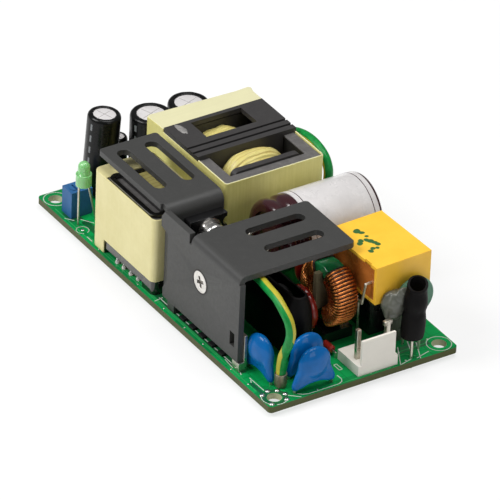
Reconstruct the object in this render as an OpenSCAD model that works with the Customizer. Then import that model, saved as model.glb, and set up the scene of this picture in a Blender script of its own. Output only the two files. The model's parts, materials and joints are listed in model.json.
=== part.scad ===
// Open frame power supply on a four inch by two inch circuit board, in millimetres.
// The origin is the centre of the mounting hole pattern, on the underside of the board.
// X runs along the board from the output end to the mains inlet, Y runs from the front
// heatsink to the back edge, and Z points up through the parts.

/* [Circuit board] */
// Length of the board
board_l = 101.6; // [101.6:0.1:110]
// Width of the board
board_w = 50.8; // [50.8:0.1:56]
// Thickness of the board
board_t = 1.6; // [1.2:0.1:2.4]
// Radius of the board's corners
board_corner_r = 1; // [0.5:0.1:2]
// Diameter of the mounting holes
mount_hole_d = 3.5; // [3.2:0.1:4]
// Distance from each mounting hole to its two nearest edges
mount_inset = 3.175; // [3:0.025:3.6]
// Length of the trimmed leads under the board
lead_stub = 1; // [0.9:0.1:2]
// Height of the solder cones under the board
solder_h = 0.7; // [0.5:0.05:0.8]

/* [Heatsinks] */
// Thickness of the heatsink sheet
sheet_t = 1.5; // [1.2:0.1:1.6]
// Height of the heatsink tops over the board
sink_h = 24.9; // [24.8:0.1:28]
// Gap under the heatsink sheets
sink_gap = 2.3; // [1.8:0.1:3]
// Outer radius of the front heatsink's bend
front_bend_r = 2; // [1.8:0.1:3]
// Outer radius of the rear heatsink's bend
rear_bend_r = 2.6; // [1.8:0.1:3]
// Length of the front heatsink's upright plate
plate_l = 32.1; // [30:0.1:32.4]
// Length of the front heatsink's top flange along the board
front_flange_l = 20.2; // [19:0.1:20.4]
// Reach of the front heatsink over the board
front_flange_reach = 31; // [30:0.1:31.5]
// Length of the rear heatsink's top flange
rear_flange_l = 29.7; // [28:0.1:31]
// Width of the rear heatsink's top flange
rear_flange_w = 15.6; // [15:0.1:16]
// Width of the long cooling slots
slot_w = 3.3; // [2.5:0.1:3.5]
// Length of the front heatsink's cooling slots
front_slot_l = 15.5; // [12:0.1:16]
// Length of the rear heatsink's cooling slots
rear_slot_l = 18.6; // [14:0.1:19]
// Thickness of the solder lugs that hold the heatsinks
lug_t = 0.8; // [0.6:0.1:0.9]
// Width of the solder lugs
lug_w = 3.2; // [2.4:0.1:3.4]

/* [Power semiconductors] */
// Width of the bridge rectifier
bridge_w = 20.8; // [19:0.1:21]
// Height of the bridge rectifier
bridge_h = 18; // [17:0.1:18.2]
// Thickness of the bridge rectifier
bridge_t = 3.4; // [3:0.1:3.6]
// Width of the power transistor
transistor_w = 10; // [9.6:0.1:10.2]
// Height of the power transistor's case
transistor_h = 15.9; // [15:0.1:16.2]
// Thickness of the power transistor's case
transistor_t = 4.5; // [4.2:0.1:4.7]
// Thickness of the power transistor's mounting end
transistor_tab_t = 2.6; // [2.2:0.1:2.9]
// Thread diameter of the clamp screws
screw_d = 3; // [2.5:0.1:3]
// Head diameter of the clamp screws
screw_head_d = 5.6; // [5:0.1:6]
// Clearance round the clamp screws in the cases
screw_clear = 0.2; // [0.1:0.05:0.3]

/* [Boost choke] */
// Length of the choke over its tape
choke_l = 26.6; // [25.6:0.1:26.7]
// Width of the choke over its tape
choke_w = 15.7; // [15.5:0.1:15.8]
// Height of the choke over the board
choke_h = 20.6; // [20:0.1:21.5]
// Height of the tape's lower edge over the board
choke_skirt = 3.7; // [3.6:0.1:4.2]
// Width of the tape strip over the end of the core
choke_strip = 5.1; // [4.6:0.1:5.3]
// Thickness of the winding tape
tape_t = 0.4; // [0.3:0.05:0.5]

/* [Main transformer] */
// Length of the transformer over its tape
trafo_l = 33.2; // [32.5:0.1:33.4]
// Width of the transformer over its tape
trafo_w = 26.9; // [26.5:0.1:27]
// Height of the transformer's cover over the board
trafo_h = 24.9; // [24.5:0.1:26]
// Thickness of the transformer's cover plate
cover_t = 1.2; // [1:0.1:1.6]
// Length of the cover plate along the board
cover_l = 14.8; // [14:0.1:15]
// Thickness of the ferrite round the transformer's windows
trafo_rim = 2.9; // [2.6:0.1:3.1]

/* [Capacitors] */
// Diameter of the bulk capacitor
bulk_d = 17.6; // [17:0.1:17.8]
// Length of the bulk capacitor
bulk_l = 26.3; // [25:0.1:26.4]
// Height of the bulk capacitor's axis over the board
bulk_axis_h = 15; // [14.6:0.1:15.1]
// Diameter of the two large output capacitors
output_d = 10; // [9:0.1:10]
// Diameter of the third output capacitor
front_output_d = 8; // [7:0.1:8.2]
// Height of the two large output capacitors
output_h = 20.4; // [18:0.1:21]
// Height of the third output capacitor
front_output_h = 20.9; // [18:0.1:21.5]
// Diameter of the supply capacitor
supply_d = 4.8; // [4.4:0.1:5]
// Height of the supply capacitor
supply_h = 12; // [11:0.1:12.5]
// Length of the interference capacitor's box
xcap_l = 19.6; // [18:0.1:19.8]
// Width of the interference capacitor's box as it lies
xcap_w = 15.2; // [14.5:0.1:15.4]
// Thickness of the interference capacitor's box
xcap_t = 9.8; // [9.2:0.1:10]
// Diameter of the blue disc capacitors
disc_d = 8.6; // [8:0.1:8.8]
// Thickness of the blue disc capacitors
disc_t = 3.8; // [3.2:0.1:4]

/* [Mains filter] */
// Outer diameter of the filter choke's ferrite ring
ring_od = 14.4; // [14:0.1:14.6]
// Inner diameter of the filter choke's ferrite ring
ring_id = 8.4; // [8:0.1:8.8]
// Height of the ferrite ring along its axis
ring_t = 4.9; // [4.6:0.1:5.1]
// Diameter of the filter choke's copper wire
copper_d = 0.8; // [0.7:0.05:0.9]
// Number of turns in each of the filter choke's windings
turns = 16; // [12:1:17]
// Angle round the ring that each winding covers
winding_arc = 132; // [120:1:134]
// Length of the thermistor's sleeve along the board
therm_l = 18.6; // [18:0.1:19]
// Thickness of the thermistor's sleeve
therm_w = 7.6; // [7:0.1:7.7]
// Diameter of the two varistors
varistor_d = 11; // [10:0.1:11.2]
// Thickness of the two varistors
varistor_t = 3; // [2.8:0.1:3.1]
// Length of the fuse's case
fuse_l = 8.5; // [8:0.1:8.6]
// Height of the fuse's case
fuse_h = 9.2; // [8.8:0.1:9.6]
// Width of the fuse's case
fuse_w = 5; // [4.6:0.1:5.2]

/* [Small parts] */
// Pitch of the pins in both headers
header_pitch = 3.96; // [3.9:0.01:4]
// Side of the square header pins
header_pin = 1.14; // [1:0.01:1.2]
// Width of the header housings
header_w = 8.6; // [8.2:0.1:8.8]
// Height of the header pins over the board
header_pin_h = 10.4; // [9.6:0.1:11]
// Width of the trimmer
trimmer_w = 4.3; // [4:0.1:4.5]
// Length of the trimmer
trimmer_l = 5.7; // [5.4:0.1:6]
// Height of the trimmer
trimmer_h = 7; // [6.5:0.1:7.5]
// Diameter of the trimmer's rotor
rotor_d = 2.6; // [2.2:0.1:3]
// Running clearance round the trimmer's rotor
rotor_clear = 0.06; // [0.04:0.01:0.1]
// Diameter of the indicator lamp's lens
lens_d = 2.9; // [2.7:0.1:3.1]
// Diameter of the collar at the foot of the lens
lens_collar_d = 3.8; // [3.4:0.1:4]
// Diameter of the earth wire
earth_d = 2.3; // [2:0.1:2.3]

/* [Hidden] */
$fn = 48;

// Overcut of every cutting shape past the face that it opens
cut = 0.5;
// Smallest gap kept between neighbouring parts
gap = 0.15;

// Board edges, the top of the board, and the tip of the trimmed leads
right = board_l / 2;
left = -right;
back = board_w / 2;
front = -back;
deck = board_t;
roof = deck + sink_h;
lead_tip = -lead_stub;

// Heatsink planes
plate_face = front + 1.3;
plate_in = plate_face + sheet_t;
plate_right = 34.8;
plate_left = plate_right - plate_l;
sink_foot = deck + sink_gap;
flange_right = plate_right - 0.4;
flange_left = flange_right - front_flange_l;
flange_back = plate_face + front_flange_reach;
front_slots_x = [19.4, 27.3];
front_slot_y = -5;
wall_face = 2;
wall_in = wall_face - sheet_t;
wall_front = plate_in + gap;
rear_flange_left = wall_face - rear_flange_l;
rear_back = -7.6;
rear_slots_y = [-19, -11.5];
rear_slot_x = -15.6;

// Lugs: place along the sheet
front_lugs_x = [6, plate_right - lug_w / 2 + 0.5];
rear_lugs_y = [-20.2, -9.4];
lug_pin_w = 1.6;

// Bridge rectifier on the front heatsink
bridge_x = 18.3;
bridge_screw_z = deck + 14.8;
bridge_hole_drop = 4.2;
bridge_top = bridge_screw_z + bridge_hole_drop;
bridge_pitch = 5.08;
bridge_pins = [for (i = [-1.5:1:1.5]) [bridge_x + i * bridge_pitch, plate_in + bridge_t * 0.6, 1.1]];
nut_h = 2.4;
nut_af = 5.5;

// Transistor on the rear heatsink
transistor_y = -13.3;
transistor_screw_z = deck + 17.8;
transistor_hole_drop = 3.3;
transistor_top = transistor_screw_z + transistor_hole_drop;
transistor_tab_h = 6.7;
transistor_pins = [for (i = [-1:1]) [wall_face + 2.6, transistor_y + i * 2.54, 0.8]];
washer_t = 0.5;
spring_t = 0.9;
pan_h = 2.1;

// Boost choke box
choke_right = wall_in - 1.1;
choke_left = choke_right - choke_l;
choke_front = front + 0.7;
choke_back = choke_front + choke_w;
choke_top = deck + choke_h;
choke_base = deck + choke_skirt;
choke_leg = 4;
choke_mid = (choke_front + choke_back) / 2;
choke_end = 4;
choke_pin_pitch = 3.05;
choke_pins = [
    for (i = [0:3], y = [choke_front + 1.6, choke_back - 1.6])
        [choke_left + 11.1 + i * choke_pin_pitch, y, 0.9]
];

// Main transformer box
trafo_left = -34.6;
trafo_mid = (choke_back + back) / 2 + 0.15;
trafo_front = trafo_mid - trafo_w / 2;
trafo_right = trafo_left + trafo_l;
trafo_back = trafo_front + trafo_w;
trafo_top = deck + trafo_h;
trafo_strip = 6.2;
cover_left = trafo_left + trafo_strip;
cover_right = cover_left + cover_l;
core_top = trafo_top - cover_t;
core_base = deck + 4.2;
core_mid_z = (core_top + core_base) / 2;
trafo_leg_r = 5.6;
trafo_pin_pitch = 4;
trafo_pins = [
    for (i = [-2:2], x = [trafo_left + 2.4, trafo_right - 2.4])
        [x, trafo_mid + i * trafo_pin_pitch, 1]
];

// Bulk capacitor: lies along Y
bulk_x = 10.3;
bulk_z = deck + bulk_axis_h;
bulk_back = back - 0.1;
bulk_front = bulk_back - bulk_l;
bulk_pitch = 7.5;
bulk_drop_y = bulk_front - 2.6;
bulk_pins = [for (s = [-1, 1]) [bulk_x + s * bulk_pitch / 2, bulk_drop_y, 0.9]];

// Upright electrolytic capacitors: place, diameter, height, lead pitch, lean about X and Y
back_cap = [-41.2, 9.8];
middle_cap = [-41.3, -0.5];
front_cap = [-45.5, -12.1];
supply_cap = [-47.9, -5.4];
cap_seat = deck + 0.4;
lean_seat = deck + 0.9;
front_cap_lean = [-3, 1.5, 0];
output_pitch = 5;
front_output_pitch = 3.5;
supply_pitch = 2;
function pair(at, pitch, d) = [for (s = [-1, 1]) [at[0], at[1] + s * pitch / 2, d]];
electrolytic_pins = concat(
    pair(back_cap, output_pitch, 0.7),
    pair(middle_cap, output_pitch, 0.7),
    pair(front_cap, front_output_pitch, 0.7),
    pair(supply_cap, supply_pitch, 0.6)
);

// Trimmer and indicator lamp near the front left corner
trimmer_at = [-42.6, front + 1.8];
rotor_at = [trimmer_at[0] + trimmer_w / 2, trimmer_at[1] + 2];
rotor_h = 1.4;
trimmer_pins = [for (i = [0:2]) [rotor_at[0], trimmer_at[1] + 0.7 + i * 2, 0.6]];
led_at = [-35.6, front + 3.3];
led_pitch = 2.54;
led_splay = 2.2;
led_seat = deck + 10.6;
led_pins = [
    for (y = [-led_pitch / 2, led_pitch / 2 + led_splay]) [led_at[0], led_at[1] + y, 0.55]
];

// Blue disc capacitors: place, height of the centre, lead pitch
front_disc = [38.4, front + 5.2];
right_disc = [48.4, front + 13];
middle_disc = [42.9, front + 14.6];
front_disc_twist = 7;
disc_rise = 6.6;
disc_pitch = 9;
right_disc_pitch = 10;
function pair_x(at, pitch, d) = [for (s = [-1, 1]) [at[0] + s * pitch / 2, at[1], d]];

// Sleeved thermistor, varistors and surge disc
therm_at = [29.4, -8.8];
therm_rise = 9.6;
therm_d = 11;
therm_disc_t = 3.6;
therm_pitch = 7.5;
varistor_at = [28.8, -2.9];
rear_varistor_at = [20.8, 5.6];
varistor_rise = 7.2;
rear_varistor_rise = 11.6;
varistor_pitch = 7.5;
surge_at = [43.85, 17.2];
surge_d = 10.2;
surge_t = 2;
surge_rise = 12.2;
surge_pitch = 5;
disc_pins = concat(
    pair_x(front_disc, disc_pitch, 0.7),
    pair(right_disc, right_disc_pitch, 0.7),
    pair(middle_disc, disc_pitch, 0.7),
    pair_x(therm_at, therm_pitch, 0.9),
    pair_x(varistor_at, varistor_pitch, 0.8),
    pair(rear_varistor_at, varistor_pitch, 0.8),
    pair(surge_at, surge_pitch, 0.6)
);

// Filter choke: centre of its ring, which stands on edge on the base
ring_at = [30.5, 3];
ring_z = deck + 11.2;
base_h = 2.7;
base_l = 9.2;
base_w = 7.6;
ring_pins = [for (i = [-1, 1], j = [-1, 1]) [ring_at[0] + i * 3.4, ring_at[1] + j * 2.6, 0.9]];

// Interference capacitor, its adhesive and the fuse
xcap_at = [23.2, back - 18.8];
xcap_z = deck + 12.4;
xcap_turn = 2;
xcap_lead_d = 0.7;
xcap_lead_route = [[34.9, 8.2, lead_tip], [34.9, 8.2, 10.6], [39.4, 6, 13.1], [40.6, 6, 18.8], [40.6, 8, 19]];
xcap_pins = [[25.6, 8.4, xcap_lead_d], [34.9, 8.2, xcap_lead_d]];
fuse_at = [28.8, 9.9];
fuse_seat = deck + 0.3;
fuse_pitch = 5.08;
fuse_pins = pair_x([fuse_at[0] + fuse_l / 2, fuse_at[1] + fuse_w / 2], fuse_pitch, 0.6);

// Sleeved resistor near the right edge
resistor_at = [48.2, 15.2];
resistor_pins = [[49.4, 13.4, 0.7], [47, 17, 0.7]];

// Headers: place of the first housing corner
inlet_at = [right - 0.7 - header_w, -1.4];
header_wall = 0.7;
header_base_h = 2.7;
header_wall_h = 9.2;
wall_inset = 0.8;
inlet_l = 2.7 * header_pitch;
output_l = 2 * header_pitch;
pin_offset = 5.2;
output_at = [-44.2, back - 0.8 - header_w];
inlet_pins = [for (i = [0, 2]) [inlet_at[0] + pin_offset, inlet_at[1] + 1.8 + i * header_pitch]];
output_pins = [for (i = [0.5, 1.5]) [output_at[0] + i * header_pitch, output_at[1] + header_w - pin_offset]];

// Glass diode
diode_at = [38, -1.6];
diode_pitch = 6;
diode_pins = pair_x(diode_at, diode_pitch, 0.5);

// Earth wire: hand laid route of its centre line
earth_route = [
    [44.5, -18.6, 5.2], [44.5, -18.6, 6], [44.5, -18.6, 6.8], [45.2, -18.7, 10.2], [46.8, -18.5, 14],
    [47.6, -18.5, 17.4], [46.9, -18.7, 20.3], [44.6, -18.9, 22.4], [41.5, -18.7, 23.6], [37.5, -18.3, 23.7],
    [33, -17.6, 23.4], [28, -17, 22.6], [22, -16.2, 21.8], [16, -14.4, 20.6], [12, -11.2, 18.4],
    [9.2, -7.6, 14.6], [6.4, -5.6, 11], [4.2, -3.6, 8.6], [3, 0, 7.4], [2.6, 5, 7.2], [2.6, 10, 7.2],
    [2.6, 15, 7.2], [2.2, 19.4, 7.6], [0.4, 22.4, 8.8], [-1.8, 23.6, 11.2], [-2.4, 23.7, 14.6],
    [-2.3, 23.7, 18], [-2.4, 23.7, 20.6], [-3.8, 23.7, 22.9], [-6.6, 23.7, 24.2], [-10.4, 23.7, 24.6],
    [-15, 23.7, 23.7], [-19.5, 23.7, 21.5], [-24, 23.7, 17.4], [-28, 23.7, 12.4], [-30, 23.7, 9.2],
    [-30.6, 23.7, 6.8], [-30.6, 23.7, 6], [-30.6, 23.7, 5.2],
];
earth_sides = 8;
terminal_h = 3.6;
terminals = [[44.5, -18.6, 1.1], [-30.6, 23.7, 1.1]];

// Every round lead that passes through the board: x, y, diameter
board_pins = concat(
    bridge_pins, transistor_pins, choke_pins, trafo_pins, bulk_pins, electrolytic_pins,
    trimmer_pins, led_pins, disc_pins, ring_pins, xcap_pins, fuse_pins, resistor_pins,
    terminals, diode_pins
);
square_pins = concat(inlet_pins, output_pins);
mount_x = right - mount_inset;
mount_y = back - mount_inset;

// A block between two corners given as ranges along each axis
module block(x, y, z) {
    translate([x[0], y[0], z[0]])
        cube([x[1] - x[0], y[1] - y[0], z[1] - z[0]]);
}

// A rectangle with rounded corners, its first corner at the origin
module rounded_rect(l, w, r) {
    translate([r, 0]) square([l - 2 * r, w]);
    translate([0, r]) square([l, w - 2 * r]);
    for (x = [r, l - r], y = [r, w - r])
        translate([x, y]) circle(r);
}

// A slot with round ends, centred, along X
module slot_shape(l, w) {
    square([l - w, w], center = true);
    for (s = [-1, 1])
        translate([s * (l - w) / 2, 0]) circle(d = w);
}

// Straight upright leads from the tip below the board up to z
module leads(pins, z) {
    for (p = pins)
        translate([p[0], p[1], lead_tip]) cylinder(d = p[2], h = z - lead_tip);
}

// Circuit board

module board() {
    color("forestgreen")
        difference() {
            translate([left, front, 0])
                linear_extrude(board_t) rounded_rect(board_l, board_w, board_corner_r);
            for (x = [-mount_x, mount_x], y = [-mount_y, mount_y])
                translate([x, y, -cut]) cylinder(d = mount_hole_d, h = board_t + 2 * cut);
            for (p = board_pins)
                translate([p[0], p[1], -cut]) cylinder(d = p[2], h = board_t + 2 * cut);
            for (p = square_pins)
                square_pin(p, [-cut, board_t + cut]);
            lug_pins([-cut, board_t + cut]);
        }
}

// Square header pins over a range of heights
module square_pin(p, z) {
    block([p[0] - header_pin / 2, p[0] + header_pin / 2], [p[1] - header_pin / 2, p[1] + header_pin / 2], z);
}

// A round bar between two points, tapered where its two diameters differ
module strut(a, b, d1, d2) {
    v = b - a;
    l = norm(v);
    translate(a) rotate([0, acos(v[2] / l), atan2(v[1], v[0])]) cylinder(d1 = d1, d2 = d2, h = l);
}

// A bent wire through a list of points
module wire(points, d) {
    $fn = 20;
    for (i = [0:len(points) - 2])
        let (rising = points[i][2] <= points[i + 1][2])
            strut(points[rising ? i : i + 1], points[rising ? i + 1 : i], d, d);
    for (i = [1:len(points) - 2])
        translate(points[i]) sphere(d = 1.06 * d);
}

// Solder cones round every lead under the board
module solder_joints() {
    color("silver")
        difference() {
            union() {
                for (p = board_pins)
                    translate([p[0], p[1], -solder_h])
                        cylinder(r1 = p[2] / 2 + 0.15, r2 = p[2] / 2 + 0.6, h = solder_h);
                for (p = square_pins)
                    translate([p[0], p[1], -solder_h])
                        cylinder(r1 = header_pin * 0.8, r2 = header_pin * 1.3, h = solder_h);
            }
            for (p = board_pins)
                translate([p[0], p[1], -solder_h - cut])
                    cylinder(d = p[2], h = solder_h + 2 * cut);
            for (p = square_pins)
                square_pin(p, [-solder_h - cut, cut]);
        }
}

// A chip on the board: centre, size, and the face that it sits on
module chip(at, size, under = false) {
    translate([at[0] - size[0] / 2, at[1] - size[1] / 2, under ? -size[2] : deck])
        cube(size);
}

// Chips along the front edge, and the control and switching parts underneath
module surface_chips() {
    color("dimgray") {
        for (i = [0:4])
            chip([10.6 + 4.1 * i, plate_face + 0.9], [2, 1.25, 0.6]);
        for (i = [0:2])
            chip([-22 + 7 * i, choke_mid], [6.2, 5.4, 0.9], under = true);
        for (i = [0:3])
            chip([9.4 + 7 * i, -14.5], [5, 4, 0.9], under = true);
        for (i = [0:1])
            chip([-20 + 9 * i, trafo_mid + 1], [5, 6.2, 0.9], under = true);
        for (i = [0:3], y = [-6.8, -9.5])
            chip([7 + 4.4 * i, y], [2, 1.25, 0.6], under = true);
        for (i = [0:3])
            chip([-42 + 3.6 * i, -15.4], [2, 1.25, 0.6], under = true);
    }
}

// Heatsinks

// Outline of the upright plate, seen from the front
module plate_outline() {
    waist = plate_left + 1.6;
    ear = plate_left - 1.3;
    relief = 0.8;
    relief_z = roof - front_bend_r - 0.5;
    difference() {
        polygon([
            [plate_left, sink_foot], [plate_right, sink_foot], [plate_right, roof - front_bend_r],
            [flange_left, roof - front_bend_r], [flange_left, relief_z],
            [flange_left - relief, relief_z], [flange_left - relief, roof],
            [plate_left, roof], [ear, roof - 1.8], [ear, roof - 4.3], [waist, roof - 5.2],
            [waist, sink_foot + 4.8], [plate_left, sink_foot + 2.3],
        ]);
        translate([front_lugs_x[1] - 2.4, sink_foot + 3.4]) square([1.9, 3.5]);
    }
}

// A bent quarter of the sheet round the Z axis
module quarter_bend(r, w) {
    rotate_extrude(angle = 90)
        translate([r - sheet_t, 0]) square([sheet_t, w]);
}

module front_heatsink() {
    reach = front_flange_reach - front_bend_r;
    color("#3b3b3e")
        difference() {
            union() {
                translate([0, plate_in, 0])
                    rotate([90, 0, 0]) linear_extrude(sheet_t) plate_outline();
                translate([flange_right, plate_face + front_bend_r, roof - front_bend_r])
                    rotate([90, 0, -90]) quarter_bend(front_bend_r, front_flange_l);
                translate([flange_left, plate_face + front_bend_r, roof - sheet_t])
                    linear_extrude(sheet_t) {
                        rounded_rect(front_flange_l, reach, 1);
                        square([front_flange_l, reach / 2]);
                    }
            }
            for (x = front_slots_x)
                translate([x, front_slot_y, roof - sheet_t - cut])
                    linear_extrude(sheet_t + 2 * cut)
                        rotate(90) slot_shape(front_slot_l, slot_w);
            bridge_screw_solid();
        }
}

module rear_heatsink() {
    color("#3b3b3e")
        difference() {
            union() {
                block([wall_in, wall_face], [wall_front, rear_back], [sink_foot, roof - rear_bend_r]);
                translate([wall_face - rear_bend_r, rear_back, roof - rear_bend_r])
                    rotate([90, 0, 0]) quarter_bend(rear_bend_r, rear_back - wall_front);
                translate([rear_flange_left, rear_back - rear_flange_w, roof - sheet_t])
                    linear_extrude(sheet_t) difference() {
                        rounded_rect(rear_flange_l - rear_bend_r + 1, rear_flange_w, 0.8);
                        translate([rear_flange_l - rear_bend_r, -cut]) square([2, rear_flange_w + 2 * cut]);
                    }
            }
            for (y = rear_slots_y)
                translate([rear_slot_x, y, roof - sheet_t - cut])
                    linear_extrude(sheet_t + 2 * cut) slot_shape(rear_slot_l, slot_w);
            translate([wall_in - cut, transistor_y, transistor_screw_z])
                rotate([0, 90, 0]) cylinder(d = screw_d, h = sheet_t + 2 * cut);
        }
}

// The lugs' flat pins over a range of heights
module lug_pins(z) {
    for (x = front_lugs_x)
        block([x - lug_pin_w / 2, x + lug_pin_w / 2], [plate_in, plate_in + lug_t], z);
    for (y = rear_lugs_y)
        block([wall_face, wall_face + lug_t], [y - lug_pin_w / 2, y + lug_pin_w / 2], z);
}

// Tinned lugs: a strip on the sheet's inner face, a foot under it and a pin
module heatsink_lugs() {
    color("silver") {
        for (x = front_lugs_x) {
            block([x - lug_w / 2, x + lug_w / 2], [plate_in, plate_in + lug_t], [deck, sink_foot + 7]);
            block([x - lug_w / 2 + 0.4, x + lug_w / 2], [plate_face + 0.1, plate_in], [deck, sink_foot]);
        }
        for (y = rear_lugs_y) {
            block([wall_face, wall_face + lug_t], [y - lug_w / 2, y + lug_w / 2], [deck, sink_foot + 2]);
            block([wall_in, wall_face], [y - lug_w / 2, y + lug_w / 2], [deck, sink_foot]);
        }
        lug_pins([lead_tip, deck]);
    }
}

// Bridge rectifier and its countersunk screw and nut

module bridge_rectifier() {
    bottom = bridge_top - bridge_h;
    color("#1c1c1e")
        difference() {
            translate([bridge_x - bridge_w / 2, plate_in + bridge_t, bottom])
                rotate([90, 0, 0]) linear_extrude(bridge_t)
                    polygon([
                        [0, 0], [bridge_w, 0], [bridge_w, bridge_h],
                        [2.2, bridge_h], [0, bridge_h - 2.2],
                    ]);
            translate([bridge_x, plate_in - cut, bridge_screw_z])
                rotate([-90, 0, 0]) cylinder(d = screw_d + 2 * screw_clear, h = bridge_t + 2 * cut);
            leads(bridge_pins, bottom + 1);
        }
}

// Two crossed slots for the screwdriver, opening upwards at z = 0
module cross_recess(d, depth) {
    for (a = [0, 90])
        rotate(a) translate([-d / 2, -0.4, -depth]) cube([d, 0.8, depth + cut]);
}

module bridge_screw_solid() {
    head_h = (screw_head_d - screw_d) / 2;
    translate([bridge_x, plate_face, bridge_screw_z])
        rotate([-90, 0, 0]) {
            cylinder(d1 = screw_head_d, d2 = screw_d, h = head_h);
            cylinder(d = screw_d, h = sheet_t + bridge_t + nut_h + 0.6);
        }
}

module bridge_screw() {
    color("silver")
        difference() {
            bridge_screw_solid();
            translate([bridge_x, plate_face, bridge_screw_z])
                rotate([90, 0, 0]) rotate(20) cross_recess(screw_head_d * 0.5, 0.9);
        }
}

module bridge_nut() {
    color("silver")
        translate([bridge_x, plate_in + bridge_t, bridge_screw_z])
            rotate([-90, 0, 0]) difference() {
                cylinder(d = nut_af / cos(30), h = nut_h, $fn = 6);
                translate([0, 0, -cut]) cylinder(d = screw_d, h = nut_h + 2 * cut);
            }
}

// Power transistor: a moulded case whose mounting end is thinner

module power_transistor() {
    bottom = transistor_top - transistor_h;
    shoulder = transistor_top - transistor_tab_h;
    color("#1c1c1e")
        difference() {
            translate([wall_face, transistor_y + transistor_w / 2, 0])
                rotate([90, 0, 0]) linear_extrude(transistor_w)
                    polygon([
                        [0, bottom], [transistor_t, bottom], [transistor_t, shoulder - 1],
                        [transistor_tab_t, shoulder], [transistor_tab_t, transistor_top],
                        [0, transistor_top],
                    ]);
            translate([wall_face - cut, transistor_y, transistor_screw_z])
                rotate([0, 90, 0])
                    cylinder(d = screw_d + 2 * screw_clear, h = transistor_tab_t + 2 * cut);
            for (s = [-1, 1])
                translate([wall_face - cut, transistor_y + s * transistor_w / 2, transistor_top - 2.2])
                    rotate([0, 90, 0]) cylinder(d = 2.2, h = transistor_t + 2 * cut);
            leads(transistor_pins, bottom + 1);
        }
}

module transistor_screw() {
    head_x = wall_face + transistor_tab_t + washer_t + spring_t;
    color("silver")
        translate([head_x, transistor_y, transistor_screw_z])
            rotate([0, 90, 0]) difference() {
                union() {
                    translate([0, 0, wall_in - head_x - 0.2])
                        cylinder(d = screw_d, h = head_x - wall_in + 0.2);
                    rotate_extrude() {
                        square([screw_head_d / 2, pan_h - 0.8]);
                        square([screw_head_d / 2 - 0.8, pan_h]);
                        translate([screw_head_d / 2 - 0.8, pan_h - 0.8]) circle(r = 0.8);
                    }
                }
                translate([0, 0, pan_h]) cross_recess(screw_head_d * 0.5, 1.1);
            }
}

// Flat washer and split spring washer under the transistor's screw
module screw_washers() {
    color("silver")
        translate([wall_face + transistor_tab_t, transistor_y, transistor_screw_z])
            rotate([0, 90, 0]) {
                difference() {
                    cylinder(d = screw_head_d + 0.9, h = washer_t);
                    translate([0, 0, -cut]) cylinder(d = screw_d + 0.2, h = washer_t + 2 * cut);
                }
                translate([0, 0, washer_t]) difference() {
                    cylinder(d = screw_head_d + 0.2, h = spring_t);
                    translate([0, 0, -cut]) cylinder(d = screw_d + 0.2, h = spring_t + 2 * cut);
                    rotate(130) translate([0, -0.2, -cut]) cube([screw_head_d, 0.4, spring_t + 2 * cut]);
                }
            }
}

module semiconductor_leads() {
    color("silver") {
        leads(bridge_pins, bridge_top - bridge_h + 1);
        leads(transistor_pins, transistor_top - transistor_h + 1);
    }
}

// Boost choke: an E core on its side with one winding on its middle leg

choke_corner = 1.6;
choke_core_top = choke_top - tape_t;
choke_window = [choke_left + choke_strip + 0.1, choke_right - tape_t - choke_end];
choke_leg_half = 1.5;
choke_tube = 0.6;
choke_coil_half = (choke_w - 2 * tape_t - 2 * choke_leg) / 2 - gap;
choke_leg_z = [choke_base + 2, choke_core_top - 2];

// Plan of the choke's taped outline, drawn in by a margin
module choke_plan(inset) {
    translate([choke_left + inset, choke_front + inset])
        rounded_rect(choke_l - 2 * inset, choke_w - 2 * inset, choke_corner - inset);
}

// A tube of rectangular section along X, centred on y, between two heights
module flat_tube(x, y, half, z, wall, r) {
    translate([x[0], y, 0]) rotate([90, 0, 90]) linear_extrude(x[1] - x[0])
        difference() {
            translate([-half - wall, z[0] - wall])
                rounded_rect(2 * (half + wall), z[1] - z[0] + 2 * wall, r);
            translate([-half, z[0]]) square([2 * half, z[1] - z[0]]);
        }
}

module choke_core() {
    color("#26262a") {
        translate([0, 0, choke_base])
            linear_extrude(choke_core_top - choke_base) difference() {
                choke_plan(tape_t);
                translate([choke_window[0], choke_front + tape_t + choke_leg])
                    square([choke_window[1] - choke_window[0], choke_w - 2 * tape_t - 2 * choke_leg]);
            }
        block(choke_window, [choke_mid - choke_leg_half, choke_mid + choke_leg_half], choke_leg_z);
    }
}

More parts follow.
